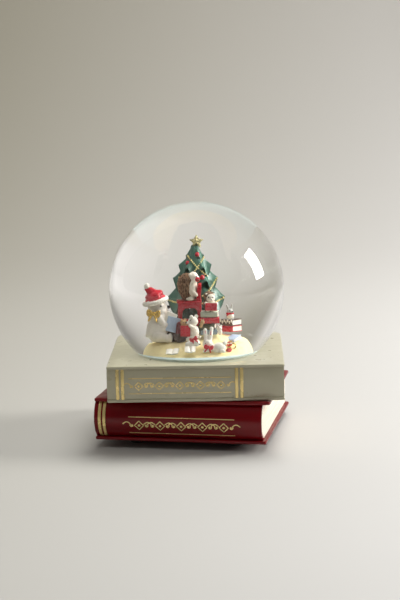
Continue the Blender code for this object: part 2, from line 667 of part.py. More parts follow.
def limb(start, end, first, last):
    """Rounded limb between two points, as a row of overlapping balls."""
    bm = bmesh.new()
    start, end = Vector(start), Vector(end)
    steps = max(2, int((end - start).length / (0.5 * min(first, last))))
    for step in range(steps + 1):
        share = step / steps
        size = first + (last - first) * share
        join_mesh(bm, ball(start.lerp(end, share), (size, size, size)))
    return bm


def figure(name, shapes, look, ratio=0.2, voxel=0.7):
    """Cast figure: rounded shapes fused by a voxel remesh, smoothed and thinned out."""
    bm = bmesh.new()
    for shape in shapes:
        join_mesh(bm, shape)
    made = add(name, in_globe(bm), look)
    remesh = made.modifiers.new("fuse", "REMESH")
    remesh.mode = "VOXEL"
    remesh.voxel_size = voxel * MM
    remesh.use_smooth_shade = True
    smooth = made.modifiers.new("soften", "SMOOTH")
    smooth.factor = 0.5
    smooth.iterations = 2
    thin = made.modifiers.new("thin", "DECIMATE")
    thin.ratio = ratio
    return made


def clear(made, *tools):
    """Cuts a figure back from what it touches."""
    for tool in tools:
        combine(made, in_globe(tool))
    return made


def book_solid(centre, size, turn=0.0, tilt=0.0, lean=0.0, grow=0.0):
    """Closed book as a box with a rounded spine on its -X side."""
    width, depth, thick = (side / 2 + grow for side in size)
    outline = []
    for step in range(7):
        angle = math.radians(-90 + 30 * step)
        outline.append((-width + 0.35 * thick * (1 - math.cos(angle)), thick * math.sin(angle)))
    outline += [(width, thick), (width, -thick)]
    bm = extruded(outline, -depth, depth)
    move(bm, Matrix.Rotation(math.radians(90), 4, "X"))
    spin = (Matrix.Rotation(math.radians(turn), 4, "Z") @ Matrix.Rotation(math.radians(tilt), 4, "Y")
            @ Matrix.Rotation(math.radians(lean), 4, "X"))
    return move(bm, Matrix.Translation(centre) @ spin)


def open_book(centre, size, turn, lean, tilt=0.0, grow=0.0):
    """Open book: two leaves that rise to each side of the gutter."""
    half, depth, rise = size[0] / 2 + grow, size[1] / 2 + grow, size[2]
    crown = rise + 0.4 + grow
    thick = 0.9 + grow
    top = [(-half, rise + grow), (-0.55 * half, crown), (0, 0.45 + grow), (0.55 * half, crown),
           (half, rise + grow)]
    base = [(half, rise - thick), (0, -thick), (-half, rise - thick)]
    bm = extruded((top + base)[::-1], -depth, depth)
    move(bm, Matrix.Rotation(math.radians(90), 4, "X"))
    spin = (Matrix.Rotation(math.radians(turn), 4, "Z") @ Matrix.Rotation(math.radians(tilt), 4, "Y")
            @ Matrix.Rotation(math.radians(lean), 4, "X"))
    return move(bm, Matrix.Translation(centre) @ spin)


def tree():
    """Four umbrella tiers on a trunk, turned in one piece, with a star on the tip."""
    axis = (TREE_X, TREE_Y)
    profile = [(0, TREE_TOP)]
    for radius, edge, tuck, tuck_z in TREE_TIERS:
        profile += [(radius, edge), (radius - 0.4, edge - 1.0), (tuck, tuck_z)]
    base = ground_height(TREE_X, TREE_Y) + 0.8
    profile += [(1.8, TREE_TIERS[-1][3]), (1.8, base), (0, base)]
    add("christmas_tree", in_globe(turned(profile, 16, axis)), GREEN)

    outline = []
    for point in range(10):
        reach = 2.75 if point % 2 == 0 else 1.25
        angle = math.radians(90 + 36 * point)
        outline.append((reach * math.cos(angle), reach * math.sin(angle)))
    star = move(extruded(outline, -0.6, 0.6), Matrix.Rotation(math.radians(90), 4, "X"))
    add("tree_star", in_globe(move(star, Matrix.Translation((TREE_X + 0.6, TREE_Y, TREE_TOP + 2.9)))), GOLD)


def bauble(name, centre, radius):
    add(name, in_globe(ball(centre, (radius, radius, radius))), RED)


def chair_and_hedgehog():
    chair = add("red_chair", in_globe(box((-8.2, -5.0, 29.6), (1.9, 0.2, 30.6))), RED)
    for x in (-8.2, 0.7):
        for y in (-5.0, -1.0):
            combine(chair, in_globe(box((x, y, 22.8), (x + 1.2, y + 1.2, 30.0))), "UNION")
    combine(chair, in_globe(box((0.7, -5.0, 30.0), (1.9, 0.2, 38.6))), "UNION")
    for y in (-4.8, -0.8):
        combine(chair, in_globe(box((-7.5, y, 25.2), (1.0, y + 0.8, 26.0))), "UNION")
    add("pile_book_red", in_globe(book_solid((-2.6, -2.3, 21.0), (10.8, 4.9, 3.0))), RED)
    add("pile_book_dark", in_globe(book_solid((-2.4, -2.3, 17.8), (11.0, 4.7, 2.8))), DARK)

    shapes = [ball((-4.6, -2.4, 37.0), (3.4, 3.2, 4.8), -12), ball((-2.4, -2.4, 36.0), (2.2, 2.6, 4.4), -8),
              ball((-1.9, -2.4, 41.3), (2.3, 2.1, 2.1)),
              limb((-1.5, -3.2, 39.2), (0.2, -3.2, 40.4), 0.9, 0.7),
              limb((-0.2, -2.4, 41.2), (0.4, -2.4, 41.0), 0.8, 0.6),
              ball((-2.6, -3.6, 31.9), (1.9, 1.1, 0.9)),
              ball((-2.6, -1.2, 31.9), (1.9, 1.1, 0.9))]
    made = figure("chair_hedgehog", shapes, BROWN, 0.22)
    clear(made, box((-9, -6, 29), (3, 2, 30.9)), ball((1.1, -4.1, 40.9), (1.6, 1.6, 1.6)))
    bauble("held_bauble", (1.1, -4.1, 40.9), 1.25)


def polar_bear():
    head = ((-16.4, -6, 28.6), (4.4, 3.9, 3.6))
    shapes = [ball((-17.6, -6, 18.6), (5.0, 5.6, 6.4), 8),
              ball((-17.4, -6, 23.6), (3.9, 4.4, 3.6)), ball(*head),
              limb((-14.6, -6, 28.2), (-13.4, -6, 28.2), 2.1, 1.5),
              limb((-17.0, -10.0, 23.8), (-13.8, -9.6, 21.4), 1.9, 1.6),
              limb((-17.0, -2.0, 23.8), (-13.8, -2.4, 21.4), 1.9, 1.6),
              limb((-16.8, -9.4, 15.6), (-13.0, -9.6, 14.9), 2.7, 2.0),
              ball((-12.0, -9.6, 15.4), (1.3, 1.8, 2.4)),
              limb((-16.8, -3.0, 15.8), (-11.6, -3.4, 15.4), 2.6, 2.0),
              ball((-10.8, -3.4, 16.0), (1.2, 1.7, 2.4)),
              ball((-20.4, -8.6, 31.4), (1.3, 0.8, 1.4))]
    bear = figure("polar_bear", shapes, WHITE, 0.11)
    book = ((-10.9, -6.4, 21.6), (6.8, 7.6, 1.6))
    clear(bear, open_book(*book, turn=90, lean=0, tilt=-62, grow=0.8),
          ball((-17.9, -6, 33.4), (5.3, 4.7, 2.2), -22), box((-25, -12, 3), (-8, 1, 12.75)))
    add("bear_book", in_globe(open_book(*book, turn=90, lean=0, tilt=-62)), BLUE)

    hat = figure("santa_hat", [ball((-17.9, -6, 33.4), (4.9, 4.3, 1.8), -22),
                               ball((-18.8, -6, 35.6), (3.6, 3.2, 2.4), -24),
                               limb((-19.6, -6, 36.6), (-21.6, -6, 38.0), 1.9, 1.2),
                               ball((-22.2, -6, 38.8), (1.4, 1.4, 1.4))], RED, 0.2)
    clear(hat, ball(head[0], tuple(size + 0.45 for size in head[1])),
                         ball((-20.4, -8.6, 31.4), (1.8, 1.3, 1.9)))
    bow = figure("gold_bow", [ball((-21.4, -11.4, 26.6), (1.6, 0.8, 1.5)),
                              ball((-18.4, -11.9, 26.4), (1.6, 0.8, 1.3)),
                              ball((-20.0, -11.8, 26.2), (0.9, 0.8, 0.9)),
                              limb((-20.4, -11.8, 25.8), (-21.8, -11.4, 23.4), 0.8, 0.7),
                              limb((-19.6, -11.8, 25.8), (-18.2, -12.2, 24.0), 0.8, 0.6)], GOLD, 0.3, 0.5)
    clear(bow, ball((-17.4, -6, 23.6), (4.3, 4.8, 4.0)), ball((-16.4, -6, 28.6), (4.8, 4.3, 4.0)),
          limb((-17.0, -10.0, 23.8), (-13.8, -9.6, 21.4), 2.4, 2.1))


def small_bear():
    shapes = [ball((-1.8, -13.4, 17.8), (2.3, 2.3, 3.3)), ball((-2.1, -13.4, 22.8), (2.2, 2.1, 2.0)),
              limb((-3.0, -13.4, 22.6), (-4.2, -13.4, 22.4), 1.1, 0.8),
              ball((-2.4, -15.0, 24.9), (0.8, 0.6, 0.8)),
              ball((-0.6, -12.4, 24.6), (0.8, 0.6, 0.8)),
              limb((-1.6, -15.2, 19.2), (-3.2, -15.4, 18.4), 0.9, 0.8),
              limb((-1.8, -14.6, 15.2), (-4.2, -14.8, 14.6), 1.3, 1.0),
              limb((-1.8, -12.0, 15.2), (-4.2, -11.8, 14.6), 1.3, 1.0)]
    made = figure("small_bear", shapes, WHITE, 0.25, 0.6)
    book = ((-5.6, -13.6, 18.3), (5.0, 4.6, 1.0))
    clear(made, open_book(*book, turn=90, lean=0, tilt=-80, grow=0.7), box((-8, -18, 3), (4, -9, 12.7)))
    add("small_bear_book", in_globe(open_book(*book, turn=90, lean=0, tilt=-80)), RED)


def fox():
    made = figure("brown_fox", [ball((-8.2, -12.4, 16.8), (2.1, 2.2, 3.4)),
                                ball((-7.3, -12.4, 21.6), (1.7, 1.7, 1.7)),
                                limb((-6.8, -12.6, 21.2), (-5.6, -12.8, 21.0), 0.8, 0.6),
                                ball((-7.9, -13.2, 23.2), (0.5, 0.4, 0.8)),
                                ball((-7.6, -11.4, 23.2), (0.5, 0.4, 0.8))],
                  BROWN, 0.25, 0.6)
    clear(made, open_book((-10.9, -6.4, 21.6), (6.8, 7.6, 1.6), turn=90, lean=0, tilt=-62, grow=0.5),
          open_book((-5.6, -13.6, 18.3), (5.0, 4.6, 1.0), turn=90, lean=0, tilt=-80, grow=0.4),
          ball((-12.0, -9.6, 15.4), (1.8, 2.3, 2.9)), box((-12, -18, 3), (-4, -8, 12.6)))


def book_stack():
    """Stack of four books, with a hedgehog that reads on top of it."""
    stack = [("stack_book_blue", 17.1, 2.1, 5.1, (7.6, 7.4), 2, BLUE),
             ("stack_book_dark", 19.7, 2.4, 4.4, (7.4, 7.0), -5, DARK),
             ("stack_book_red", 22.6, 2.5, 5.8, (8.2, 7.2), 4, RED),
             ("stack_book_pale", 25.4, 2.3, 5.6, (7.8, 6.8), -3, PALE)]
    for name, z, thick, x, (width, depth), turn, look in stack:
        add(name, in_globe(book_solid((x, -8.8, z), (width, depth, thick), turn)), look)

    shapes = [ball((5.9, -8.4, 29.6), (2.4, 2.0, 3.0)), ball((6.0, -8.6, 32.9), (2.1, 1.9, 2.1)),
              limb((6.2, -10.0, 32.4), (6.4, -10.7, 32.2), 0.8, 0.6),
              limb((4.6, -9.6, 30.2), (4.4, -11.0, 29.6), 0.8, 0.7),
              limb((7.4, -9.6, 30.2), (8.0, -11.0, 29.6), 0.8, 0.7),
              ball((5.0, -10.8, 27.5), (0.9, 1.3, 0.8)), ball((7.2, -10.8, 27.5), (0.9, 1.3, 0.8))]
    made = figure("reading_hedgehog", shapes, BROWN, 0.22, 0.6)
    book = ((6.5, -12.2, 29.2), (5.5, 3.5, 0.8))
    clear(made, open_book(*book, turn=4, lean=70, grow=0.4), box((0, -14, 23), (12, -4, 26.9)))
    add("hedgehog_book", in_globe(open_book(*book, turn=4, lean=70)), RED)


def right_stack():
    """Two books with a grey rabbit on them, and a blue book that lies in front."""
    add("side_book_red", in_globe(book_solid((14.2, 1.6, 17.9), (8.4, 7.4, 2.5), 24)), RED)
    add("side_book_brown", in_globe(book_solid((14.2, 1.6, 20.7), (8.4, 7.4, 2.4), 22)), DARK)
    figure("grey_rabbit", [ball((14.0, 0.6, 24.2), (1.7, 1.5, 1.9)),
                           ball((14.3, 0.2, 26.6), (1.35, 1.25, 1.3)),
                           limb((13.6, 0.6, 27.4), (12.8, 0.8, 29.4), 0.55, 0.45),
                           limb((14.6, 0.6, 27.4), (15.2, 0.9, 29.6), 0.55, 0.45),
                           ball((15.2, -0.4, 22.8), (0.8, 0.7, 0.6)),
                           ball((13.2, -0.4, 22.8), (0.8, 0.7, 0.6))],
           GREY, 0.35, 0.5)
    add("side_book_blue", in_globe(book_solid((16.6, -7.4, 15.8), (6.6, 6.0, 2.0), -30, 12)), BLUE)


def front_row():
    """Animals and open books that lie on the sand in front."""
    rabbit = [ball((9.9, -19.0, 10.0), (3.5, 2.4, 2.6)), ball((4.6, -19.6, 12.0), (2.1, 1.9, 1.9)),
              limb((7.6, -19.2, 10.0), (4.8, -19.6, 10.8), 2.0, 1.5),
              limb((4.0, -19.2, 13.2), (4.2, -18.8, 19.6), 0.8, 0.7),
              limb((5.6, -19.0, 13.2), (6.2, -18.6, 20.0), 0.8, 0.7),
              ball((12.6, -18.6, 12.4), (1.1, 1.1, 1.1)),
              limb((5.4, -20.8, 8.8), (3.2, -21.2, 8.4), 0.9, 0.7)]
    clear(figure("lying_rabbit", rabbit, WHITE, 0.25, 0.6), ground_cutter())

    cub = [ball((-3.2, -21.4, 12.4), (2.4, 1.9, 1.8)), ball((-0.6, -21.8, 12.8), (1.7, 1.5, 1.4)),
           limb((-0.2, -22.0, 12.5), (0.7, -22.2, 12.3), 0.7, 0.5),
           limb((-3.0, -22.6, 11.4), (-1.6, -23.4, 10.8), 0.8, 0.6),
           ball((-1.2, -20.8, 14.2), (0.5, 0.4, 0.5))]
    clear(figure("lying_cub", cub, WHITE, 0.3, 0.5), ground_cutter())
    add("front_book", in_globe(open_book((-3.6, -26.4, 8.9), (5.6, 4.0, 0.6), -4, 34)), PALE)
    add("left_book", in_globe(open_book((-12.0, -24.4, 7.9), (7.4, 4.6, 0.7), -16, 30, -6)), PALE)
    bauble("floor_bauble", (15.3, -18.0, ground_height(15.3, -18.0) + 2.6), 1.7)


def ground_cutter():
    """The mound with a little more height, as a solid to cut figures back from the sand."""
    bm = bmesh.new()
    count = 12
    step = 2.6
    low_x, low_y = -12.0, -30.0
    grid = [[bm.verts.new((low_x + step * i, low_y + step * j,
                           ground_height(low_x + step * i, low_y + step * j) + 0.7)) for j in range(count)]
            for i in range(count)]
    for i in range(count - 1):
        for j in range(count - 1):
            bm.faces.new([grid[i][j], grid[i + 1][j], grid[i + 1][j + 1], grid[i][j + 1]])
    walls = bmesh.ops.extrude_face_region(bm, geom=list(bm.faces))
    for item in walls["geom"]:
        if isinstance(item, bmesh.types.BMVert):
            item.co.z = 2.0
    return bm


def main():
    for old in list(bpy.data.objects):
        bpy.data.objects.remove(old, do_unlink=True)
    books()
    base_hardware()
    globe()
    movement()
    ground()
    tree()
    chair_and_hedgehog()
    polar_bear()
    small_bear()
    fox()
    book_stack()
    right_stack()
    front_row()


main()
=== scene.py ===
"""Looks of the musical snow globe: two stacked books, a liquid-filled globe and a reading party of animals.

Lengths are millimetres until a mesh is made. Shapes inside the globe are measured from the globe's axis
and the upper book's top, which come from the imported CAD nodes.
"""

import json
import math
import random

import bmesh
import bpy
from mathutils import Matrix, Vector, noise


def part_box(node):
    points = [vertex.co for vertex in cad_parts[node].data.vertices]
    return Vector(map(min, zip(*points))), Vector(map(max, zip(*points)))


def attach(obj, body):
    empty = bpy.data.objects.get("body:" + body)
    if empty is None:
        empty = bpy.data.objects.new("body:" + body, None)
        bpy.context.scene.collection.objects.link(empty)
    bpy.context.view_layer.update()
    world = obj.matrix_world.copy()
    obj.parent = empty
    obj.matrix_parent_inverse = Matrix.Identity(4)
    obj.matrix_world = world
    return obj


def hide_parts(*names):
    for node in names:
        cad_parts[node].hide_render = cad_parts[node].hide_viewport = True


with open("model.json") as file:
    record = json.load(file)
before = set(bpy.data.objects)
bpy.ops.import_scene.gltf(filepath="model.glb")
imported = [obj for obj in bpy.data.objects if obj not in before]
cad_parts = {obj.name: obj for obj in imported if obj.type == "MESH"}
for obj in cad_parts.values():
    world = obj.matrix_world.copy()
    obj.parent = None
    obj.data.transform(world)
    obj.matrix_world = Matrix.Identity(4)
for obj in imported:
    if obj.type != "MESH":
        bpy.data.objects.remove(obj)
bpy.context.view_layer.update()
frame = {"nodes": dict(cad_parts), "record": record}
scene = bpy.context.scene
MM = 0.001
VOXEL_SCALE = 1.0    # coarser casting while trying things
SLOTS = {entry["node"]: entry["material_slot"] for entry in frame["record"]["subparts"]}


def cad_mm(node):
    low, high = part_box(node)
    return low / MM, high / MM


def axis_of(node):
    """Where the vertical axis of a CAD node stands."""
    low, high = cad_mm(node)
    return Vector(((low.x + high.x) / 2, (low.y + high.y) / 2, 0))


glass_low, glass_high = cad_mm("glass_globe")
RADIUS = (glass_high.x - glass_low.x) / 2
AXIS = axis_of("glass_globe")
TOP = cad_mm("upper_book_cover")[1].z
CENTRE_Z = glass_high.z - RADIUS
IN_GLOBE = Matrix.Translation((AXIS.x, AXIS.y, TOP))
WORLD = Matrix.Identity(4)
plate_low, plate_high = cad_mm("base_plate")
BAY = axis_of("base_plate")
RECESS_RADIUS = (plate_high.x - plate_low.x) / 2 + 0.5
RECESS_TOP = plate_high.z + 0.3
BAY_RADIUS = 30.0
BAY_TOP = glass_low.z - 1.4
NECK_RADIUS = 34.5


# ---- Materials -----------------------------------------------------------------------------
def linear(*srgb):
    return tuple(((v + 0.055) / 1.055) ** 2.4 if v > 0.04045 else v / 12.92 for v in srgb)


def times(colour, factor):
    return tuple(min(v * factor, 1) for v in colour)


def nodes_of(name):
    made = bpy.data.materials.new(name)
    made.use_nodes = True
    tree = made.node_tree
    return made, tree, tree.nodes["Principled BSDF"]


def feed(tree, node, inputs):
    """Links sockets and sets plain values."""
    for key, value in inputs.items():
        if isinstance(value, bpy.types.NodeSocket):
            tree.links.new(value, node.inputs[key])
        else:
            node.inputs[key].default_value = value


def new_node(tree, kind, inputs=None, **settings):
    node = tree.nodes.new(kind)
    for key, value in settings.items():
        setattr(node, key, value)
    feed(tree, node, inputs or {})
    return node


def where(tree):
    return new_node(tree, "ShaderNodeTexCoord").outputs["Object"]


def grain_of(tree, scale, detail):
    """Noise. The scale is in cycles per metre, one number or one for each axis."""
    spot = where(tree)
    if isinstance(scale, tuple):
        spot = new_node(tree, "ShaderNodeMapping", {"Vector": spot, "Scale": scale}).outputs["Vector"]
        scale = 1.0
    cloud = new_node(tree, "ShaderNodeTexNoise", {"Vector": spot, "Scale": scale, "Detail": detail})
    return cloud.outputs["Fac"]


def ramp(tree, value, low, high, start=0.0, end=1.0):
    """A value between start and end, stretched to run from low to high."""
    return new_node(tree, "ShaderNodeMapRange", {"Value": value, "From Min": start, "From Max": end,
                                                 "To Min": low, "To Max": high}).outputs["Result"]


def mottle(tree, scale, low, high):
    return ramp(tree, grain_of(tree, scale, 3.0), low, high, 0.3, 0.7)


def mixed(tree, factor, first, second):
    node = new_node(tree, "ShaderNodeMix", data_type="RGBA")
    for socket, value in ((node.inputs[0], factor), (node.inputs[6], first), (node.inputs[7], second)):
        if isinstance(value, bpy.types.NodeSocket):
            tree.links.new(value, socket)
        else:
            socket.default_value = (*value, 1)
    return node.outputs[2]


def relief(tree, shader, height, strength, depth):
    bump = new_node(tree, "ShaderNodeBump", {"Height": height, "Strength": strength, "Distance": depth * MM})
    tree.links.new(bump.outputs["Normal"], shader.inputs["Normal"])


def painted(name, colour, shade=None, rough=0.45, painted_hollow_shade=0.5, bump=0.12, grain=900.0, coat=0.0, metallic=0.0,
            sheen=0.5):
    """Hand-painted resin: cloudy colour, painted shade in the hollows, a fine uneven surface."""
    made, tree, shader = nodes_of(name)
    colour = linear(*colour)
    shade = linear(*shade) if shade else times(colour, 0.55)
    cloudy = tuple(v * 0.8 + s * 0.2 for v, s in zip(colour, shade))
    cloud = mixed(tree, mottle(tree, grain * 0.45, 0.0, 0.45), colour, cloudy)
    # Pointiness marks the hollows; there the shade colour is mixed in as painted shade.
    point = new_node(tree, "ShaderNodeNewGeometry").outputs["Pointiness"]
    hollow = ramp(tree, point, painted_hollow_shade, 0.0, 0.42, 0.5)
    feed(tree, shader, {"Base Color": mixed(tree, hollow, cloud, shade), "Metallic": metallic,
                        "Roughness": mottle(tree, grain, max(rough - 0.08, 0.02), rough + 0.08),
                        "Coat Weight": coat, "Coat Roughness": 0.08, "Specular IOR Level": sheen})
    if bump:
        relief(tree, shader, grain_of(tree, grain * 2.2, 4.0), bump, 0.4)
    return made


def metal(name, colour, rough=0.28, streak=(60.0, 2600.0, 2600.0)):
    """Metal with fine brushed lines."""
    made, tree, shader = nodes_of(name)
    lines = grain_of(tree, streak, 3.0)
    colour = linear(*colour)
    feed(tree, shader, {"Base Color": mixed(tree, lines, times(colour, 0.86), colour), "Metallic": 1.0,
                        "Roughness": ramp(tree, lines, rough - 0.1, rough + 0.14)})
    relief(tree, shader, lines, 0.08, 0.2)
    return made


def paper(name, colour, dark):
    """Page edges: thin uneven lines that follow the pages."""
    made, tree, shader = nodes_of(name)
    lines = grain_of(tree, (25.0, 25.0, 2600.0), 4.0)
    gap = ramp(tree, lines, 0.7, 0.0, 0.35, 0.6)
    feed(tree, shader, {"Base Color": mixed(tree, gap, linear(*colour), linear(*dark)),
                        "Roughness": mottle(tree, 300.0, 0.5, 0.66)})
    relief(tree, shader, lines, 0.3, 0.4)
    return made


def glass(name, ior):
    """Clear wall. Shadow and diffuse rays go straight through, so the scene inside is lit."""
    made, tree, shader = nodes_of(name)
    tree.nodes.remove(shader)
    bend = new_node(tree, "ShaderNodeBsdfGlass", {"IOR": ior, "Roughness": 0.0, "Color": (1, 1, 1, 1)})
    clear = new_node(tree, "ShaderNodeBsdfTransparent", {"Color": (0.98, 0.985, 0.98, 1)})
    path = new_node(tree, "ShaderNodeLightPath").outputs
    either = new_node(tree, "ShaderNodeMath", {0: path["Is Shadow Ray"], 1: path["Is Diffuse Ray"]},
                      operation="MAXIMUM")
    mix = new_node(tree, "ShaderNodeMixShader", {0: either.outputs[0], 1: bend.outputs[0],
                                                 2: clear.outputs[0]})
    tree.links.new(mix.outputs[0], tree.nodes["Material Output"].inputs["Surface"])
    return made


def furry(name, colour, shade):
    """Coat painted in short strokes that run downwards."""
    made, tree, shader = nodes_of(name)
    strokes = ramp(tree, grain_of(tree, (2600.0, 2600.0, 520.0), 2.0), 0.0, 1.0, 0.4, 0.6)
    feed(tree, shader, {"Base Color": mixed(tree, strokes, linear(*shade), linear(*colour)),
                        "Roughness": 0.55})
    relief(tree, shader, strokes, 0.6, 0.4)
    return made


def glitter(name, colour):
    """Gold paint with glitter: each flake has its own brightness and tilt."""
    made, tree, shader = nodes_of(name)
    cells = new_node(tree, "ShaderNodeTexVoronoi", {"Vector": where(tree), "Scale": 2600.0})
    flake = new_node(tree, "ShaderNodeSeparateColor", {"Color": cells.outputs["Color"]}).outputs["Red"]
    colour = linear(*colour)
    feed(tree, shader, {"Base Color": mixed(tree, flake, times(colour, 0.45), times(colour, 1.5)),
                        "Metallic": 0.6, "Roughness": 0.32})
    relief(tree, shader, flake, 0.9, 0.3)
    return made


# Each look's second colour is its shade colour, which painted() mixes into the hollows as painted shade.
OLIVE = painted("olive_cloth", (0.68, 0.66, 0.565), (0.50, 0.47, 0.38), rough=0.34, painted_hollow_shade=0.15, bump=0.04,
                grain=180, coat=0.35, sheen=0.6)
RED_COVER = painted("red_cover", (0.44, 0.03, 0.06), (0.20, 0.0, 0.02), rough=0.38, painted_hollow_shade=0.2, bump=0.05,
                    grain=220, coat=0.4, sheen=0.1)
GILT = painted("gilt", (0.95, 0.85, 0.58), (0.50, 0.38, 0.16), rough=0.26, painted_hollow_shade=0.0, bump=0.0, grain=150,
               metallic=0.4)
PAGES = paper("pages", (0.97, 0.94, 0.88), (0.80, 0.72, 0.60))
GLASS_OUT = glass("glass_outer", 1.5)
GLASS_IN = glass("glass_inner", 1.5 / 1.333)
SEAT_BLUE = painted("seat_blue", (0.74, 0.81, 0.80), rough=0.35, painted_hollow_shade=0.2, grain=300)
SAND = painted("sand", (1.0, 0.93, 0.71), (0.88, 0.75, 0.48), rough=0.7, painted_hollow_shade=0.2, bump=0.4, grain=1400)
GREEN = painted("tree_green", (0.31, 0.47, 0.40), (0.08, 0.18, 0.13), rough=0.33, painted_hollow_shade=0.7, bump=0.25,
                grain=700, coat=0.15)
# Darker green for the tree's under-skirt: partly its own green, partly painted shade for the shadow under the
# tiers.
SHADED_UNDERSKIRT_GREEN = painted("shaded_underskirt_green", (0.17, 0.27, 0.22), (0.05, 0.09, 0.07), rough=0.5)
BEAD = painted("beads", (0.95, 0.89, 0.62), rough=0.3, painted_hollow_shade=0.1, bump=0.0, metallic=0.1)
STAR = glitter("star_glitter", (0.86, 0.80, 0.60))
RED = painted("red_paint", (0.78, 0.10, 0.17), (0.34, 0.01, 0.03), rough=0.3, coat=0.3)
PINK_RED = painted("bauble_red", (0.78, 0.14, 0.20), (0.35, 0.02, 0.05), rough=0.2, coat=0.6)
WHITE = painted("white_fur", (0.95, 0.93, 0.88), (0.62, 0.53, 0.43), rough=0.5, painted_hollow_shade=0.75, bump=0.2)
BEAR = painted("bear_fur", (0.93, 0.90, 0.85), (0.50, 0.42, 0.34), rough=0.42, painted_hollow_shade=0.7, bump=0.15, grain=500)
CREAM = painted("cream", (0.96, 0.93, 0.86), (0.66, 0.54, 0.40), rough=0.45, painted_hollow_shade=0.6)
SPINES = furry("spines", (0.66, 0.53, 0.41), (0.28, 0.18, 0.11))
TAN = painted("tan", (0.80, 0.66, 0.48), (0.42, 0.26, 0.15), rough=0.5)
# Dark brown of the fox's coat; where it fills the patch behind the bear's leg it is partly painted shade.
DARK_COAT_AND_SHADE = painted("dark_brown", (0.30, 0.22, 0.17), (0.10, 0.06, 0.05), rough=0.5)
MAROON = painted("maroon", (0.42, 0.07, 0.10), rough=0.4)
GREY = painted("grey_fur", (0.74, 0.74, 0.71), (0.38, 0.37, 0.34), rough=0.5)
BLUE = painted("blue_paint", (0.74, 0.81, 0.90), (0.38, 0.45, 0.56), rough=0.35, painted_hollow_shade=0.4)
BLUE_GREY = painted("blue_grey", (0.56, 0.63, 0.66), (0.28, 0.32, 0.34), rough=0.4)
SAGE = painted("sage", (0.72, 0.74, 0.66), (0.42, 0.43, 0.34), rough=0.4)
MOSS = painted("moss", (0.33, 0.32, 0.22), (0.12, 0.12, 0.06), rough=0.4)
BROWN_BOOK = painted("brown_book", (0.30, 0.19, 0.14), (0.10, 0.05, 0.04), rough=0.35)
LEAF = painted("book_pages", (0.97, 0.95, 0.90), (0.78, 0.70, 0.58), rough=0.5, painted_hollow_shade=0.5)
PINK = painted("pink_edge", (0.90, 0.55, 0.58), rough=0.4)
GOLD_PAINT = painted("gold_paint", (0.80, 0.66, 0.34), (0.36, 0.24, 0.07), rough=0.22, painted_hollow_shade=0.6,
                     metallic=0.75)
BLACK = painted("black_gloss", (0.05, 0.045, 0.045), rough=0.12, painted_hollow_shade=0.0, bump=0.0, coat=0.8)
RUBBER = painted("rubber", (0.30, 0.29, 0.27), rough=0.7, bump=0.3)
MOULDED = painted("black_plastic", (0.09, 0.09, 0.09), rough=0.45, bump=0.2, grain=1800)
STEEL = metal("steel", (0.78, 0.78, 0.79))
BRASS = metal("brass", (0.84, 0.72, 0.46))
CAST = metal("cast_zinc", (0.62, 0.62, 0.63), 0.45, (900.0, 900.0, 900.0))


# ---- Mesh helpers --------------------------------------------------------------------------
def take(target, other):
    """Moves one bmesh into another."""
    spare = bpy.data.meshes.new("spare")
    other.to_mesh(spare)
    other.free()
    target.from_mesh(spare)
    bpy.data.meshes.remove(spare)


def joined(parts):
    bm = bmesh.new()
    for part in parts:
        take(bm, part)
    return bm


def moved(bm, matrix):
    bmesh.ops.transform(bm, matrix=matrix, verts=bm.verts)
    return bm


def at(centre, turn=0.0, tilt=0.0, lean=0.0):
    """Place in the globe, with turns in degrees about X (lean), then Y (tilt), then Z (turn)."""
    return (Matrix.Translation(centre) @ Matrix.Rotation(math.radians(turn), 4, "Z")
            @ Matrix.Rotation(math.radians(tilt), 4, "Y") @ Matrix.Rotation(math.radians(lean), 4, "X"))


def piece(name, items, stands_for=None, into=IN_GLOBE, sharp=38):
    """One object from (bmesh or list of them in millimetres, material) pairs."""
    mesh = bpy.data.meshes.new(name)
    whole = bmesh.new()
    for index, (shapes, look) in enumerate(items):
        for bm in shapes if isinstance(shapes, list) else [shapes]:
            for face in bm.faces:
                face.material_index = index
            take(whole, bm)
        mesh.materials.append(look)
    moved(whole, Matrix.Scale(MM, 4) @ into)
    bmesh.ops.recalc_face_normals(whole, faces=whole.faces)
    whole.to_mesh(mesh)
    whole.free()
    mesh.shade_smooth()
    mesh.set_sharp_from_angle(angle=math.radians(sharp))
    made = bpy.data.objects.new(name, mesh)
    scene.collection.objects.link(made)
    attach(made, "base")
    if stands_for:
        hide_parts(stands_for)
    return made


def stitch(bm, low, high, closed=True):
    """Faces between two rows of vertices. A row of one vertex is a tip."""
    count = max(len(low), len(high))
    for k in range(0 if count == 1 else count if closed else count - 1):
        after = (k + 1) % count
        bm.faces.new(list(dict.fromkeys([low[k % len(low)], low[after % len(low)],
                                         high[after % len(high)], high[k % len(high)]])))


def loft(rings, ends="flat"):
    """Surface through rings of points, whose ends are flat faces, open, or looped from last to first."""
    bm = bmesh.new()
    rows = [[bm.verts.new(point) for point in ring] for ring in rings]
    for low, high in zip(rows, rows[1:] + (rows[:1] if ends == "looped" else [])):
        stitch(bm, low, high)
    if ends == "flat":
        bm.faces.new(rows[0][::-1])
        bm.faces.new(rows[-1])
    return bm


def closed_shell(outer, inner):
    """Solid between two grids of points of one size."""
    bm = bmesh.new()
    rims = []
    for points in (outer, inner):
        grid = [[bm.verts.new(point) for point in row] for row in points]
        for low, high in zip(grid, grid[1:]):
            stitch(bm, low, high, closed=False)
        rims.append([row[0] for row in grid[:-1]] + grid[-1][:-1]
                    + [row[-1] for row in grid[:0:-1]] + grid[0][:0:-1])
    stitch(bm, *rims)
    return bm


def circle(count, radius, other=None):
    """Points round a circle, or round an ellipse when its second radius is given."""
    other = radius if other is None else other
    return [(radius * math.cos(math.tau * k / count), other * math.sin(math.tau * k / count))
            for k in range(count)]


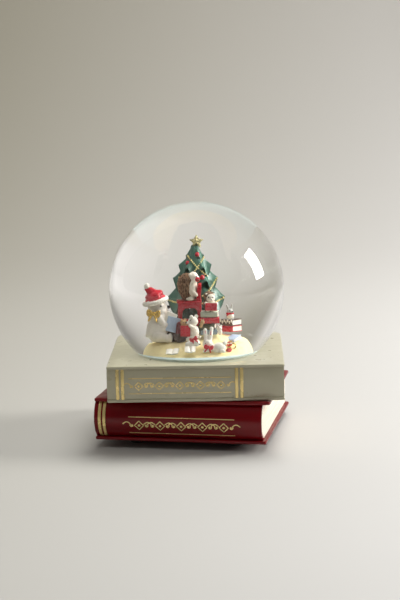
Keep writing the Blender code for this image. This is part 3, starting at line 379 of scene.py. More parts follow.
def lathe(profile, segments=48, wave=None):
    """Turned shape about Z through (radius, height) points.

    wave(angle, index, radius, height) may give a point of ring number index another radius and height.
    """
    rings = []
    for index, (radius, height) in enumerate(profile):
        ring = []
        for step in range(segments if radius else 1):
            angle = math.tau * step / segments
            r, z = wave(angle, index, radius, height) if wave and radius else (radius, height)
            ring.append((r * math.cos(angle), r * math.sin(angle), z))
        rings.append(ring)
    return loft(rings, "looped" if profile[0][0] else "open")


def prism(points, low, high):
    return loft([[(x, y, z) for x, y in points] for z in (low, high)])


def drum(radius, low, high, centre, segments=72):
    return moved(prism(circle(segments, radius), low, high), Matrix.Translation((centre[0], centre[1], 0)))


def ball(centre, radii, tilt=0.0, subdivisions=3):
    """Ellipsoid, tilted about Y by degrees."""
    radii = (radii,) * 3 if isinstance(radii, (int, float)) else radii
    bm = bmesh.new()
    bmesh.ops.create_icosphere(bm, subdivisions=subdivisions, radius=1)
    return moved(bm, at(centre, tilt=tilt) @ Matrix.Diagonal((*radii, 1)))


def dab(centre, radii):
    """Small ellipsoid with fewer faces."""
    return ball(centre, radii, subdivisions=2)


def limb(start, end, first, last):
    """Rounded rod whose radius goes from first to last."""
    start, end = Vector(start), Vector(end)
    steps = max(2, int((end - start).length / (0.3 * min(first, last))))
    return joined([dab(start.lerp(end, k / steps), first + (last - first) * k / steps)
                   for k in range(steps + 1)])


def tube(points, radius, sides=8, closed=False):
    """Round wire through a list of points."""
    points = [Vector(p) for p in points]
    count = len(points)
    rings = []
    for index, point in enumerate(points):
        before = points[(index - 1) % count] if closed or index else point
        after = points[(index + 1) % count] if closed or index < count - 1 else point
        along = (after - before).normalized()
        side = along.orthogonal() if not rings else side - along * side.dot(along)
        side.normalize()
        up = along.cross(side)
        rings.append([point + side * x + up * y for x, y in circle(sides, radius)])
    return loft(rings, "looped" if closed else "flat")


def hoop(count, radius, other, thick):
    """Closed wire ring about Z, round or oval."""
    return tube([(x, y, 0) for x, y in circle(count, radius, other)], thick, closed=True)


def evaluated(bm, *modifiers):
    """A bmesh after modifiers, each given as (type, settings)."""
    mesh = bpy.data.meshes.new("work")
    bm.to_mesh(mesh)
    bm.free()
    work = bpy.data.objects.new("work", mesh)
    scene.collection.objects.link(work)
    for kind, settings in modifiers:
        modifier = work.modifiers.new(kind, kind)
        for key, value in settings.items():
            setattr(modifier, key, value)
    bpy.context.view_layer.update()
    result = bmesh.new()
    final = bpy.data.meshes.new_from_object(work.evaluated_get(bpy.context.evaluated_depsgraph_get()))
    result.from_mesh(final)
    bpy.data.objects.remove(work)
    bpy.data.meshes.remove(mesh)
    bpy.data.meshes.remove(final)
    return result


def bevelled(bm, width, segments=2):
    return evaluated(bm, ("BEVEL", {"width": width, "segments": segments, "limit_method": "ANGLE"}))


def fused(shapes, voxel, smooth, grain=0.0, grain_size=1.0, stretch=(1, 1, 1)):
    """Rounded shapes melted into one cast body, with carved grain on its surface."""
    bm = evaluated(joined(shapes), ("REMESH", {"mode": "VOXEL", "voxel_size": voxel * VOXEL_SCALE}),
                   ("SMOOTH", {"factor": 0.5, "iterations": smooth}))
    bm.normal_update()
    for vert in bm.verts if grain else ():
        spot = Vector(co * s for co, s in zip(vert.co, stretch)) / grain_size
        vert.co += vert.normal * grain * noise.noise(spot)
    return bm


def cut(bm, *tools):
    """Boolean difference with other solids."""
    for tool in tools:
        mesh = bpy.data.meshes.new("tool")
        bmesh.ops.recalc_face_normals(tool, faces=tool.faces)
        tool.to_mesh(mesh)
        tool.free()
        solid = bpy.data.objects.new("tool", mesh)
        scene.collection.objects.link(solid)
        bmesh.ops.recalc_face_normals(bm, faces=bm.faces)
        bm = evaluated(bm, ("BOOLEAN", {"object": solid, "operation": "DIFFERENCE", "solver": "EXACT"}))
        bpy.data.objects.remove(solid)
        bpy.data.meshes.remove(mesh)
    return bm


# ---- Books of the base ---------------------------------------------------------------------
def rounded_outline(left, right, front, back, corner, front_corner=0.8):
    """Outline points of a rectangle with rounded corners, counter-clockwise, at most 4 mm or so apart."""
    points = []
    for cx, cy, start, radius in ((right, front, -90, front_corner), (right, back, 0, corner),
                                  (left, back, 90, corner), (left, front, 180, front_corner)):
        sx, sy = (-1 if cx == right else 1), (1 if cy == front else -1)
        steps = 8 if radius > 1 else 3
        for k in range(steps + 1):
            angle = math.radians(start + 90 * k / steps)
            points.append((cx + sx * radius + radius * math.cos(angle),
                           cy + sy * radius + radius * math.sin(angle)))
    dense = []
    for (x, y), (nx, ny) in zip(points, points[1:] + points[:1]):
        span = max(1, int(math.hypot(nx - x, ny - y) / 4.0))
        dense += [(x + (nx - x) * j / span, y + (ny - y) * j / span) for j in range(span)]
    return dense


def slab(outline, low, high, seed):
    """Flat board with soft, slightly worn edges, on rings that let it be bent."""
    soft, wear = 0.5, 0.012
    cx, cy = (sum(p[axis] for p in outline) / len(outline) for axis in (0, 1))

    def ring(inset, z):
        points = []
        for x, y in outline:
            shrink = 1 - inset / max(abs(x - cx), abs(y - cy))
            rough = wear * noise.noise(Vector((x * 0.35 + seed, y * 0.35, z)))
            points.append((cx + (x - cx) * shrink, cy + (y - cy) * shrink, z + rough))
        return points

    def flat_rings(edge, z):
        return [[(cx + (x - cx) * share, cy + (y - cy) * share, z) for x, y, _ in edge]
                for share in (0.1, 0.25, 0.45, 0.65, 0.85)]

    edge = [(soft * (1 - math.sin(a)), soft * (1 - math.cos(a))) for a in (0, 0.52, 1.05, math.pi / 2)]
    sides = [ring(inset, low + rise) for inset, rise in edge]
    sides += [ring(inset, high - rise) for inset, rise in edge[::-1]]
    return loft(flat_rings(sides[0], low) + sides + flat_rings(sides[-1], high)[::-1])


class Book:
    """A book of the base in its own axes: X along the spine, -Y to the spine, Z up from its underside."""
    board = 1.8

    def __init__(self, node, width, depth, turn, hollow, proud, corner, drop, ends):
        low, high = cad_mm(node)
        lean = abs(math.radians(turn))
        across, along = math.cos(lean), math.sin(lean)
        x = (low.x + (width / 2 * across + depth / 2 * along) if corner else
             high.x - (width / 2 * across + depth / 2 * along))
        y = high.y - (depth / 2 * across + (width / 2 - corner) * along)
        self.place = Matrix.Translation((x, y, low.z)) @ Matrix.Rotation(math.radians(turn), 4, "Z")
        self.width, self.depth, self.thick = width, depth, high.z - low.z
        self.proud, self.corner, self.drop, self.ends = proud, corner, drop, ends
        half = (self.thick - 1.4 * self.board) / 2
        sagitta = hollow + proud
        self.arc = (half * half + sagitta * sagitta) / (2 * sagitta)

    def spine_y(self, z, offset=0.0):
        """Front surface of the spine at a height, or a surface offset into it."""
        rise = min(max(z - self.thick / 2, -self.arc * 0.99), self.arc * 0.99)
        radius = self.arc - offset
        inside = max(radius * radius - rise * rise, 0.0)
        return -self.depth / 2 - self.proud + self.arc - math.sqrt(inside)

    def slope(self, y):
        """How far the upper board lies below the spine's full thickness."""
        return self.drop * (y + self.depth / 2) / self.depth

    def spine(self):
        left, right = -self.width / 2 + self.ends[0], self.width / 2 - self.ends[1]
        low, high = self.board * 0.7, self.thick - self.board * 0.7
        columns, rows, wall = 40, 18, 1.5
        outer, inner = [], []
        for i in range(columns + 1):
            x = left + (right - left) * i / columns
            heights = [low + (high - low) * j / rows for j in range(rows + 1)]
            soften = 0.35 * max(0.0, 1 - min(x - left, right - x) / 0.7) ** 2
            ripples = [0.05 * noise.noise(Vector((x * 0.12, z * 0.3, self.thick))) for z in heights]
            outer.append([(x, self.spine_y(z) + soften + ripple, z) for z, ripple in zip(heights, ripples)])
            inner.append([(x, self.spine_y(z, wall), z) for z in heights])
        return closed_shell(outer, inner)

    def strip(self, path, width, raised=0.22):
        """Raised gilt line on the spine along (x, z) points."""
        section = ((-1, -0.15), (-0.8, raised * 0.8), (0, raised), (0.8, raised * 0.8), (1, -0.15))
        rows = []
        for k, (x, z) in enumerate(path):
            bx, bz = path[max(k - 1, 0)]
            ax, az = path[min(k + 1, len(path) - 1)]
            along = Vector((ax - bx, az - bz)).normalized()
            side = Vector((-along.y, along.x)) * width / 2
            row = []
            for across, lift in section:
                px, pz = x + side.x * across, z + side.y * across
                row.append((px, self.spine_y(pz) - lift, pz))
            rows.append(row)
        return loft(rows)

    def dot(self, x, z, radius):
        return dab((x, self.spine_y(z) - 0.02, z), (radius, 0.25, radius))

    def band(self, x):
        low, high = self.board * 0.75, self.thick - self.board * 0.75
        return self.strip([(x, low + (high - low) * k / 16) for k in range(17)], 1.9, 0.55)

    def pages(self, layers, inset, back_inset):
        """Page block as many thin sheets, each a little out of line."""
        half = self.width / 2 - inset
        back = self.depth / 2 - back_inset
        low, high = self.board + 0.3, self.thick - self.board - 0.3
        corner = max(self.corner - 1, 0.3)
        local = random.Random(layers)
        rings = []
        for k in range(layers + 1):
            share = k / layers
            z = low + (high - low) * share
            jitter = local.uniform(0.0, 0.16) + (0.1 if k % 2 else 0)
            wave = 0.25 * noise.noise(Vector((share * 9, self.width, 0)))
            outline = rounded_outline(-half + jitter - min(wave, 0), half - jitter - max(wave, 0),
                                      self.spine_y(z, 2.0), back - jitter, corner, 0.3)
            rings.append([(x, y, z - self.slope(y) * share) for x, y in outline])
        count = min(len(ring) for ring in rings)
        return loft([ring[:count] for ring in rings])


lower = Book("lower_book_cover", 97.0, 90.0, -11.6, 3.5, 2.5, 0, 2.6, (0.1, 2.0))
upper = Book("upper_book_cover", 98.0, 88.0, -1.7, 0.8, 0.6, 8.0, 0.0, (0.1, 0.3))
FRONT_OF_UPPER = cad_mm("upper_book_cover")[0].y


def boards(book, corner):
    """Lower and upper board of a book, as they lie in the base."""
    outline = rounded_outline(-book.width / 2, book.width / 2, -book.depth / 2, book.depth / 2, corner)
    under = slab(outline, 0, book.board, book.width)
    over = slab(outline, book.thick - book.board, book.thick, book.width + 50)
    for vert in over.verts:
        x, y = vert.co.x, vert.co.y
        vert.co.z -= book.slope(y)
        if book.drop:    # the lower cover's front right corner stands out and lifts, clear of the upper book
            share = max(x, 0) / (book.width / 2) * (book.depth / 2 - y) / book.depth
            outside = max(0.0, FRONT_OF_UPPER - 0.6 - (book.place @ vert.co).y) / 5.5
            vert.co.x += 2.4 * share
            vert.co.z += 1.3 * share * min(outside, 1.0)
    return moved(under, book.place), moved(over, book.place)


def flourish(book, x, z, size, way):
    """Plain scroll ornament: a spiral that opens into a leaf stem."""
    curl = []
    for k in range(15):
        share = k / 18
        reach, angle = size * (0.15 + 0.5 * share), 1.2 + 0.42 * k
        curl.append((x + way * reach * math.cos(angle) * (1 - 0.2 * share),
                     z + reach * math.sin(angle) * 0.9))
    stem = [(curl[-1][0] + way * size * 1.9 * k / 8, curl[-1][1] + size * 0.5 * math.sin(0.9 * k / 2.2))
            for k in range(9)]
    return [book.strip(curl, 0.55), book.strip(stem, 0.6), book.dot(x, z, 0.5)]


def ornament(book, left, right, z, height):
    """Row of diamonds and scrolls with a rule above and below, in place of a title."""
    parts = [book.strip([(left + (right - left) * k / 30, z + rule * height / 2) for k in range(31)], 0.45)
             for rule in (-1, 1)]
    count = 5
    reach = height * 0.27
    for k in range(count):
        middle = left + (right - left) / count * (k + 0.5)
        diamond = [(middle, z + reach), (middle + reach, z), (middle, z - reach), (middle - reach, z)]
        diamond.append(diamond[0])
        dense = [(a[0] + (b[0] - a[0]) * j / 4, a[1] + (b[1] - a[1]) * j / 4)
                 for a, b in zip(diamond, diamond[1:]) for j in range(4)] + [diamond[-1]]
        parts += [book.strip(dense, 0.6), book.dot(middle, z, 0.75)]
        for way in (-1, 1):
            parts += flourish(book, middle + way * (reach + 1.6), z, height * 0.24, way)
    return parts


def base_books():
    recess = (RECESS_RADIUS, lower.place.translation.z - 1, RECESS_TOP, BAY)
    under, over = boards(lower, 1.2)
    under = cut(under, drum(*recess))
    over = cut(over, drum(BAY_RADIUS, RECESS_TOP, 40, BAY))
    spine = moved(lower.spine(), lower.place)
    piece("lower_cover", [([under, over, spine], RED_COVER)], "lower_book_cover", WORLD)
    sheets = cut(moved(lower.pages(46, 1.9, 2.0), lower.place), drum(*recess),
                 drum(BAY_RADIUS, RECESS_TOP - 1, 40, BAY))
    piece("lower_pages", [(sheets, PAGES)], "lower_book_pages", WORLD, sharp=60)
    gilding = [lower.band(x) for x in (-45.2, -42.6)] + ornament(lower, -28.5, 31.5, 9.6, 9.6)
    piece("lower_gilding", [(gilding, GILT)], into=lower.place)

    under, over = boards(upper, upper.corner)
    under = cut(under, drum(BAY_RADIUS, 20, 45, BAY))
    over = cut(over, drum(NECK_RADIUS, BAY_TOP, TOP + 1, AXIS))
    spine = moved(upper.spine(), upper.place)
    piece("upper_cover", [([under, over, spine], OLIVE)], "upper_book_cover", WORLD)
    sheets = cut(moved(upper.pages(38, 1.8, 1.8), upper.place), drum(BAY_RADIUS, 20, BAY_TOP, BAY),
                 drum(NECK_RADIUS, BAY_TOP - 0.01, TOP + 1, AXIS))
    piece("upper_pages", [(sheets, PAGES)], "upper_book_pages", WORLD, sharp=60)
    gilding = [upper.band(x) for x in (-43.1, -40.3, 22.6, 25.4)] + ornament(upper, -37.0, 19.6, 9.4, 8.6)
    piece("upper_gilding", [(gilding, GILT)], into=upper.place)


# ---- Globe and ground ----------------------------------------------------------------------
def ground_height(x, y):
    reach = math.hypot(0.9 * x, 1.2 * y if y < 0 else y)
    fall = min(max((reach - 16) / 17, 0), 1)
    fall = fall * fall * (3 - 2 * fall)
    hill = 3.6 * math.exp(-((x - 6) ** 2 + y ** 2) / 160)
    return 3.3 + (9.2 + hill) * (1 - fall)


def globe():
    wall = 2.2
    lift = CENTRE_Z - TOP
    low_z = 0.3
    neck_bottom = glass_low.z - TOP
    neck_outer, neck_inner = 34.2, 32.0

    def dome(radius, shares):
        """Points down a sphere from its top (share 0) to low_z (share 1)."""
        reach = math.acos((low_z - lift) / radius)
        return [(radius * math.sin(reach * k), lift + radius * math.cos(reach * k)) for k in shares]

    outer = [(neck_inner, neck_bottom), (neck_outer, neck_bottom), (neck_outer, low_z - 0.1)]
    outer += dome(RADIUS, [1 - k / 60 for k in range(60)]) + [(0, lift + RADIUS)]
    inner = [(0, lift + RADIUS - wall)] + dome(RADIUS - wall, [k / 60 for k in range(1, 61)])
    shell = lathe(outer + inner + [(neck_inner, low_z - 1.2)], 120)
    made = piece("globe_glass", [(shell, GLASS_OUT)], "glass_globe", sharp=60)
    made.data.materials.append(GLASS_IN)
    middle = Vector((AXIS.x, AXIS.y, CENTRE_Z)) * MM
    for face in made.data.polygons:
        if (face.center - middle).length < (RADIUS - wall / 2) * MM and face.center.z > TOP * MM:
            face.material_index = 1

    disc = [(0, -1.0), (31.6, -1.0), (31.8, -0.2), (32.3, 0.3), (33.0, 0.8), (33.7, 1.5), (34.2, 2.2),
            (34.2, 2.5), (33.7, 3.0), (31.5, 4.0), (28.0, 4.4), (0, 4.4)]
    piece("seat", [(lathe(disc, 96), SEAT_BLUE)], "seat_disc")
    plug = [(0, -1.0), (33.2, -1.0), (33.6, -0.7), (33.6, -0.3), (31.7, -0.3), (31.5, 1.4), (31.7, 2.2),
            (31.5, 3.0), (31.7, 3.8), (31.5, 4.6)]
    plug = [(radius, neck_bottom + rise) for radius, rise in plug] + [(31.7, -1.6), (31.2, -1.1), (0, -1.1)]
    piece("stopper", [(lathe(plug, 72), RUBBER)], "rubber_stopper")


def sand():
    """Ground inside the globe. It lies a little to the front of the globe's axis."""
    rings, segments = 66, 150
    middle_y, base_z = -4.4, 3.8
    rows = [[(0, middle_y, ground_height(0, middle_y))]]
    for i in range(1, rings + 1):
        row = []
        for k in range(segments):
            angle = math.tau * k / segments
            across, along = math.cos(angle), math.sin(angle)
            edge = 25.0 + 0.9 * max(0.0, math.cos(angle + 0.9))
            edge += 0.5 * noise.noise(Vector((3 * across, 3 * along, 1)))
            edge += 0.3 * noise.noise(Vector((11 * across, 11 * along, 2)))
            radius = edge * math.sin(math.pi / 2 * i / rings)
            x, y = radius * across, radius * along + middle_y
            rough = 0.35 * noise.noise(Vector((x, y, 0)) * 0.35) + 0.16 * noise.noise(Vector((x, y, 5)) * 1.3)
            rough += 0.08 * noise.noise(Vector((x, y, 9)) * 4.0)
            share = min((edge - radius) / 4.0, 1)
            rise = max(ground_height(x, y) + rough - base_z, 0.4)
            row.append((x, y, base_z + rise * (1 - (1 - share) ** 2.2) ** 0.8))
        rows.append(row)
    rows.append([(0, middle_y, base_z)])
    piece("sand", [(loft(rows, "open"), SAND)], "sand_ground", sharp=80)

    rng = random.Random(11)
    flakes = []
    for _ in range(70):
        angle = rng.uniform(0, math.tau)
        reach = 21.5 * math.sqrt(rng.uniform(0.05, 0.98))
        x, y = reach * math.cos(angle), reach * math.sin(angle) + middle_y
        size = rng.uniform(0.12, 0.24)
        outline = [(size * math.cos(k * 1.05), size * math.sin(k * 1.05)) for k in range(6)]
        turn = Matrix.Rotation(rng.uniform(-0.6, 0.6), 4, "X")
        flakes.append(moved(prism(outline, -0.03, 0.03),
                            Matrix.Translation((x, y, ground_height(x, y) + 0.22)) @ turn))
    piece("snow_flakes", [(flakes, WHITE)])


# ---- Christmas tree ------------------------------------------------------------------------
TREE = Vector((-0.4, 12.0, 0))
# For each tier: radius and height of its tips, radius and height of its top, droop of its lobes.
TIERS = [(3.7, 46.8, 1.5, 50.2, 4.6), (6.7, 42.8, 2.2, 47.4, 4.0), (9.1, 37.4, 3.2, 43.6, 4.8),
         (11.7, 29.4, 4.6, 38.0, 5.4)]
# Height and half width of the tree's outline, from its top down.
TREE_WIDTHS = [(50.2, 1.6), (46.6, 3.2), (42.6, 5.2), (39.0, 6.9), (35.0, 8.2), (30.0, 9.9), (24.0, 10.4)]


def tree_front(x, z, proud=0.3):
    """A point on the front of the tree's outline."""
    radius = TREE_WIDTHS[-1][1]
    for (high, first), (low, last) in zip(TREE_WIDTHS, TREE_WIDTHS[1:]):
        if low <= z <= high:
            radius = first + (last - first) * (high - z) / (high - low)
    radius = max(radius, abs(x) * 1.02) + proud
    return Vector((TREE.x + x, TREE.y - math.sqrt(max(radius * radius - x * x, 0.05)), z))


def tier(radius, tip_z, top_radius, top_z, droop, seed):
    """One skirt of the tree: six blunt tips with drooping lobes between them, hollow below."""
    steps = 18

    def wave(angle, index, _radius, _height):
        under = index > steps
        share = max((2 * steps + 1 - index) / steps, 0) if under else index / steps
        tip = (0.5 + 0.5 * math.cos(6 * angle + 0.16 * math.sin(seed))) ** 1.3
        folds = 0.1 * math.sin(18 * angle + seed) * share * (1 - tip)
        folds += 0.2 * noise.noise(Vector((2 * math.cos(angle), 2 * math.sin(angle), share * 2 + seed)))
        tip_r = top_radius + (radius - top_radius) * share
        tip_h = top_z + (tip_z - top_z) * share ** 0.92 + 0.35 * share ** 6
        lobe_r = top_radius + (radius * 0.88 - top_radius) * share ** 0.78
        lobe_h = top_z + (tip_z - droop - top_z) * share ** 1.12
        r = tip_r * tip + lobe_r * (1 - tip) + folds
        z = tip_h * tip + lobe_h * (1 - tip)
        if under:
            r, z = r - 0.75 * share - 0.15, z - 0.15 - 0.35 * share + 1.1 * (1 - share)
        return max(r, 0.3), z

    crown = ball((0, 0, top_z - 0.3), (top_radius + 0.25, top_radius + 0.25, 1.0))
    return moved(joined([lathe([(1, 0)] * (2 * steps + 2), 150, wave), crown]), Matrix.Translation(TREE))


def garland(first, last, sag):
    """Beads a small distance apart, hung between two (x, z) points on the tree's front."""
    size, pitch, steps = 0.42, 0.95, 24
    path = []
    for k in range(steps + 1):
        share = k / steps
        path.append(tree_front(first[0] + (last[0] - first[0]) * share,
                               first[1] + (last[1] - first[1]) * share - sag * math.sin(math.pi * share)))
    parts = []
    travelled = 0.0
    for start, end in zip(path, path[1:]):
        length = (end - start).length
        while travelled < length:
            parts.append(ball(start.lerp(end, travelled / length), size, subdivisions=1))
            travelled += pitch
        travelled -= length
    return joined(parts)


def star():
    outline = []
    for k in range(10):
        reach, angle = (1.6 if k % 2 else 3.1), math.radians(90 + 36 * k)
        outline.append((reach * math.cos(angle), reach * math.sin(angle)))
    bm = bmesh.new()
    rim = [bm.verts.new((x, 0, z)) for x, z in outline]
    for way in (-1, 1):
        peak = bm.verts.new((0, way * 0.95, 0))
        for k in range(10):
            bm.faces.new([rim[k], rim[(k + 1) % 10], peak][::way])
    bm = evaluated(bm, ("SUBSURF", {"levels": 3, "render_levels": 3, "subdivision_type": "SIMPLE"}))
    for vert in bm.verts:
        vert.co += Vector((0, 0.14, 0)) * noise.noise(vert.co * 3.1)
    return moved(bm, at((0.4, TREE.y, 52.7)))


def christmas_tree():
    skirts = [tier(*numbers, seed) for seed, numbers in enumerate(TIERS)]
    # Under-skirt that fills the dark space below the lowest tier; its darker green is partly painted shade.
    under = lathe([(0, 13.0), (7.2, 13.0), (7.4, 16.0), (7.6, 24.0), (6.0, 30.0), (0, 30.0)], 60,
                  lambda angle, index, r, z: (r + 0.35 * math.sin(9 * angle), z))
    piece("christmas_tree_skirts", [(skirts, GREEN), (moved(under, Matrix.Translation(TREE)), SHADED_UNDERSKIRT_GREEN)],
          "christmas_tree", sharp=60)
    strings = [garland((-2.9, 47.2), (4.9, 39.4), 0.3), garland((3.6, 46.4), (-1.2, 40.6), 0.3),
               garland((8.8, 37.8), (2.8, 31.6), 1.0), garland((-6.6, 38.6), (-7.4, 35.6), 0.2),
               garland((-11.4, 29.4), (-7.0, 28.9), 0.4), garland((-7.0, 28.9), (4.0, 28.6), 0.3),
               garland((4.0, 28.6), (9.4, 28.8), 0.4), garland((9.4, 28.8), (11.5, 30.0), 0.1)]
    piece("garland", [(strings, BEAD)])
    hung = [ball(tree_front(x, z, 0.2), size)
            for x, z, size in ((1.0, 48.0, 0.95), (-3.0, 44.6, 0.95), (2.9, 39.0, 1.1))]
    dark = [ball(tree_front(x, z, 0.2), 0.5) for x, z in ((4.5, 39.6), (-6.2, 39.2), (10.8, 29.8))]
    piece("tree_baubles", [(hung, PINK_RED), (dark, MOSS)])
    piece("star", [(star(), STAR)], "tree_star", sharp=20)


# ---- Small books in the globe --------------------------------------------------------------
def shut_book(name, centre, size, look, stands_for, turn=0.0, tilt=0.0, lean=0.0, extra=()):
    """Closed cast book: cover with a round spine at the front, ridged pages set back from it."""
    half, depth, thick = size[0] / 2, size[1] / 2, size[2] / 2
    board = 0.13 * size[2]

    def arc(grow):
        angles = [math.radians(-90 + 18 * k) for k in range(11)]
        return [(-depth + 0.45 * thick * (1 - math.cos(a)) + grow, (thick - grow) * math.sin(a))
                for a in angles]

    outline = [(depth, -thick)] + arc(0) + [(depth, thick), (depth, thick - board)]
    outline += arc(board)[::-1] + [(depth, -thick + board)]
    cover = bevelled(prism(outline, -half, half), 0.12)
    moved(cover, Matrix(((0, 0, 1, 0), (1, 0, 0, 0), (0, 1, 0, 0), (0, 0, 0, 1))))
    layers = max(6, int(size[2] / 0.22))
    local = random.Random(name)
    sheets = []
    for k in range(layers):
        low = -thick + board + (2 * thick - 2 * board) * k / layers
        high = low + (2 * thick - 2 * board) / layers
        slack = local.uniform(0.18, 0.34)
        corners = [(-half + slack, -depth + 0.5), (half - slack, -depth + 0.5), (half - slack, depth - slack),
                   (-half + slack, depth - slack)]
        sheets.append(prism(corners, low, high))
    piece(name, [(cover, look), (sheets, LEAF), *extra], stands_for, IN_GLOBE @ at(centre, turn, tilt, lean))


def spread_book(name, centre, size, look, stands_for, turn, tilt, lean):
    """Open book lying on its back: two swelling halves of pages on a thin cover."""
    half, depth, thick = size[0] / 2, size[1] / 2, size[2]
    columns, rows = 24, 8
    tops, unders = [], []
    for i in range(columns + 1):
        x = -half + 2 * half * i / columns
        share = abs(x) / half
        rise = thick * (0.25 + 0.5 * math.sin(math.pi * min(share * 1.05, 1.0) ** 0.7) + 0.35 * share)
        for grid, z in ((tops, rise), (unders, 0.18 + 0.5 * thick * share)):
            grid.append([(x * 0.96, (-depth + 2 * depth * j / rows) * 0.95, z) for j in range(rows + 1)])
    edge = 0.5 * thick
    section = [(-half, edge), (0, -0.12), (half, edge), (half, edge + 0.2), (0, 0.16), (-half, edge + 0.2)]
    cover = moved(prism(section, -depth, depth), at((0, 0, 0), lean=90))
    piece(name, [(closed_shell(tops, unders), LEAF), (bevelled(cover, 0.07), look)], stands_for,
          IN_GLOBE @ at(centre, turn, tilt, lean))


def held_book(name, centre, size, look, stands_for, roll, yaw, spread, leaves, extra=()):
    """Book held up to be read, its covers towards the front and its spine in their middle."""
    width, height = size
    rim = 0.2
    covers, sheets = [], []
    for way in (-1, 1):
        swing = at((0, 0, 0), way * spread)
        low, high = (0, width / 2) if way > 0 else (-width / 2, 0)
        board = prism([(low, -0.22), (high, -0.22), (high, 0.12), (low, 0.12)], -height / 2, height / 2)
        covers.append(moved(bevelled(board, 0.1), swing))
        first, last = (low, high - rim) if way > 0 else (low + rim, high)
        for k in range(5):
            near = 0.12 + leaves * k / 5
            far = near + leaves / 5
            reach = height / 2 - 0.22 - 0.03 * (k % 2)
            block = prism([(first, near), (last, near), (last, far), (first, far)], -reach, reach)
            sheets.append(moved(block, swing))
    covers.append(limb((0, -0.05, -height / 2 + 0.25), (0, -0.05, height / 2 - 0.25), 0.28, 0.28))
    piece(name, [(covers, look), (sheets, LEAF), *extra], stands_for, IN_GLOBE @ at(centre, yaw, roll))


# ---- Animals -------------------------------------------------------------------------------
def bow(centre, size, turn, roll):
    """Ribbon bow: two loops, a knot and two tails."""
    shapes = []
    for way in (-1, 1):
        loop = []
        for k in range(14):
            a = math.tau * k / 14
            loop.append((way * size * (0.15 + 0.75 * math.sin(a / 2) ** 0.8), 0, size * 0.42 * math.sin(a)))
        shapes += [tube(loop + loop[:1], size * 0.17, 6),
                   dab((way * size * 0.62, 0, 0), (size * 0.42, size * 0.16, size * 0.34)),
                   limb((way * size * 0.12, -size * 0.05, -size * 0.1), (way * size * 0.62, 0, -size * 1.15),
                        size * 0.2, size * 0.16)]
    shapes.append(dab((0, -size * 0.1, 0), (size * 0.27, size * 0.27, size * 0.3)))
    return moved(fused(shapes, size * 0.085, 3), at(centre, turn, roll))


def eyes(*spots):
    """Glossy beads, each (x, y, z, size)."""
    return [dab((x, y, z), (size, size * 0.8, size)) for x, y, z, size in spots]


def chair():
    """Toy armchair with arched sides, seen from its side."""
    upright = at((0, 0, 0), lean=90)
    side = [(-8.2, 22.8), (-8.2, 30.0), (1.9, 30.0), (1.9, 22.8), (0.4, 22.8), (0.1, 26.2), (-0.9, 27.5),
            (-5.2, 27.5), (-6.3, 26.2), (-6.6, 22.8)]
    parts = [prism(side, 3.9, 5.0), prism(side, -0.2, 0.9)]
    parts += [prism([(left, 27.6), (right, 27.6), (right, 30), (left, 30)], 0.9, 3.9)
              for left, right in ((-8.2, -7.0), (0.7, 1.9))]
    parts.append(prism([(-8.7, 29.7), (2.0, 29.7), (2.0, 30.7), (-8.7, 30.7)], -0.5, 5.3))
    parts.append(prism([(-0.1, 30.5), (-0.1, 33.0), (0.3, 36.2), (0.9, 37.8), (2.1, 37.9), (2.1, 36.0),
                        (1.8, 33.0), (1.9, 30.5)], -0.2, 5.0))
    bm = joined([bevelled(moved(part, upright), 0.28, 3) for part in parts])
    for vert in bm.verts:
        vert.co += Vector((0.05, 0.05, 0.05)) * noise.noise(vert.co * 0.8)
    piece("chair", [(bm, RED)], "red_chair")


def hedgehog_on_chair():
    chair()
    shut_book("pile_red", (-2.8, -2.3, 21.0), (10.4, 4.8, 3.0), RED, "pile_book_red")
    shut_book("pile_dark", (-2.4, -2.3, 17.8), (11.0, 4.7, 2.8), MOSS, "pile_book_dark", 2)
    coat = fused([ball((-5.1, -2.3, 36.8), (3.2, 3.4, 5.2), -8),
                  ball((-4.2, -2.3, 39.4), (3.1, 3.0, 3.4), -16),
                  ball((-4.2, -2.3, 33.6), (2.8, 3.0, 3.0))], 0.24, 4, 0.2, 0.5, (1.6, 1.6, 0.5))
    soft = fused([ball((-1.9, -2.8, 36.2), (2.3, 2.7, 4.8), 6), ball((-1.3, -2.9, 41.0), (2.2, 2.1, 2.4)),
                  limb((0.1, -3.1, 40.9), (1.0, -3.2, 40.7), 1.0, 0.55),
                  limb((-1.9, -4.8, 38.6), (0.3, -5.0, 40.3), 1.0, 0.75),
                  limb((-2.0, -4.6, 35.2), (-0.2, -4.9, 33.4), 1.1, 0.9),
                  ball((-2.9, -4.4, 31.7), (1.9, 1.2, 0.95)), ball((-2.6, -1.4, 31.7), (1.9, 1.2, 0.95)),
                  ball((-2.7, -4.3, 42.2), (0.75, 0.45, 0.8))], 0.22, 4, 0.05, 0.6)
    face = eyes((0.0, -4.9, 41.6, 0.3), (1.35, -3.2, 40.75, 0.42))
    piece("chair_hedgehog_body", [(coat, SPINES), (soft, CREAM), (face, BLACK)], "chair_hedgehog")
    cap = dab((0.7, -6.2, 40.3), (0.4, 0.2, 0.4))
    piece("bauble_held", [(ball((0.5, -5.2, 40.4), 1.1), PINK_RED), (cap, MOSS)], "held_bauble")


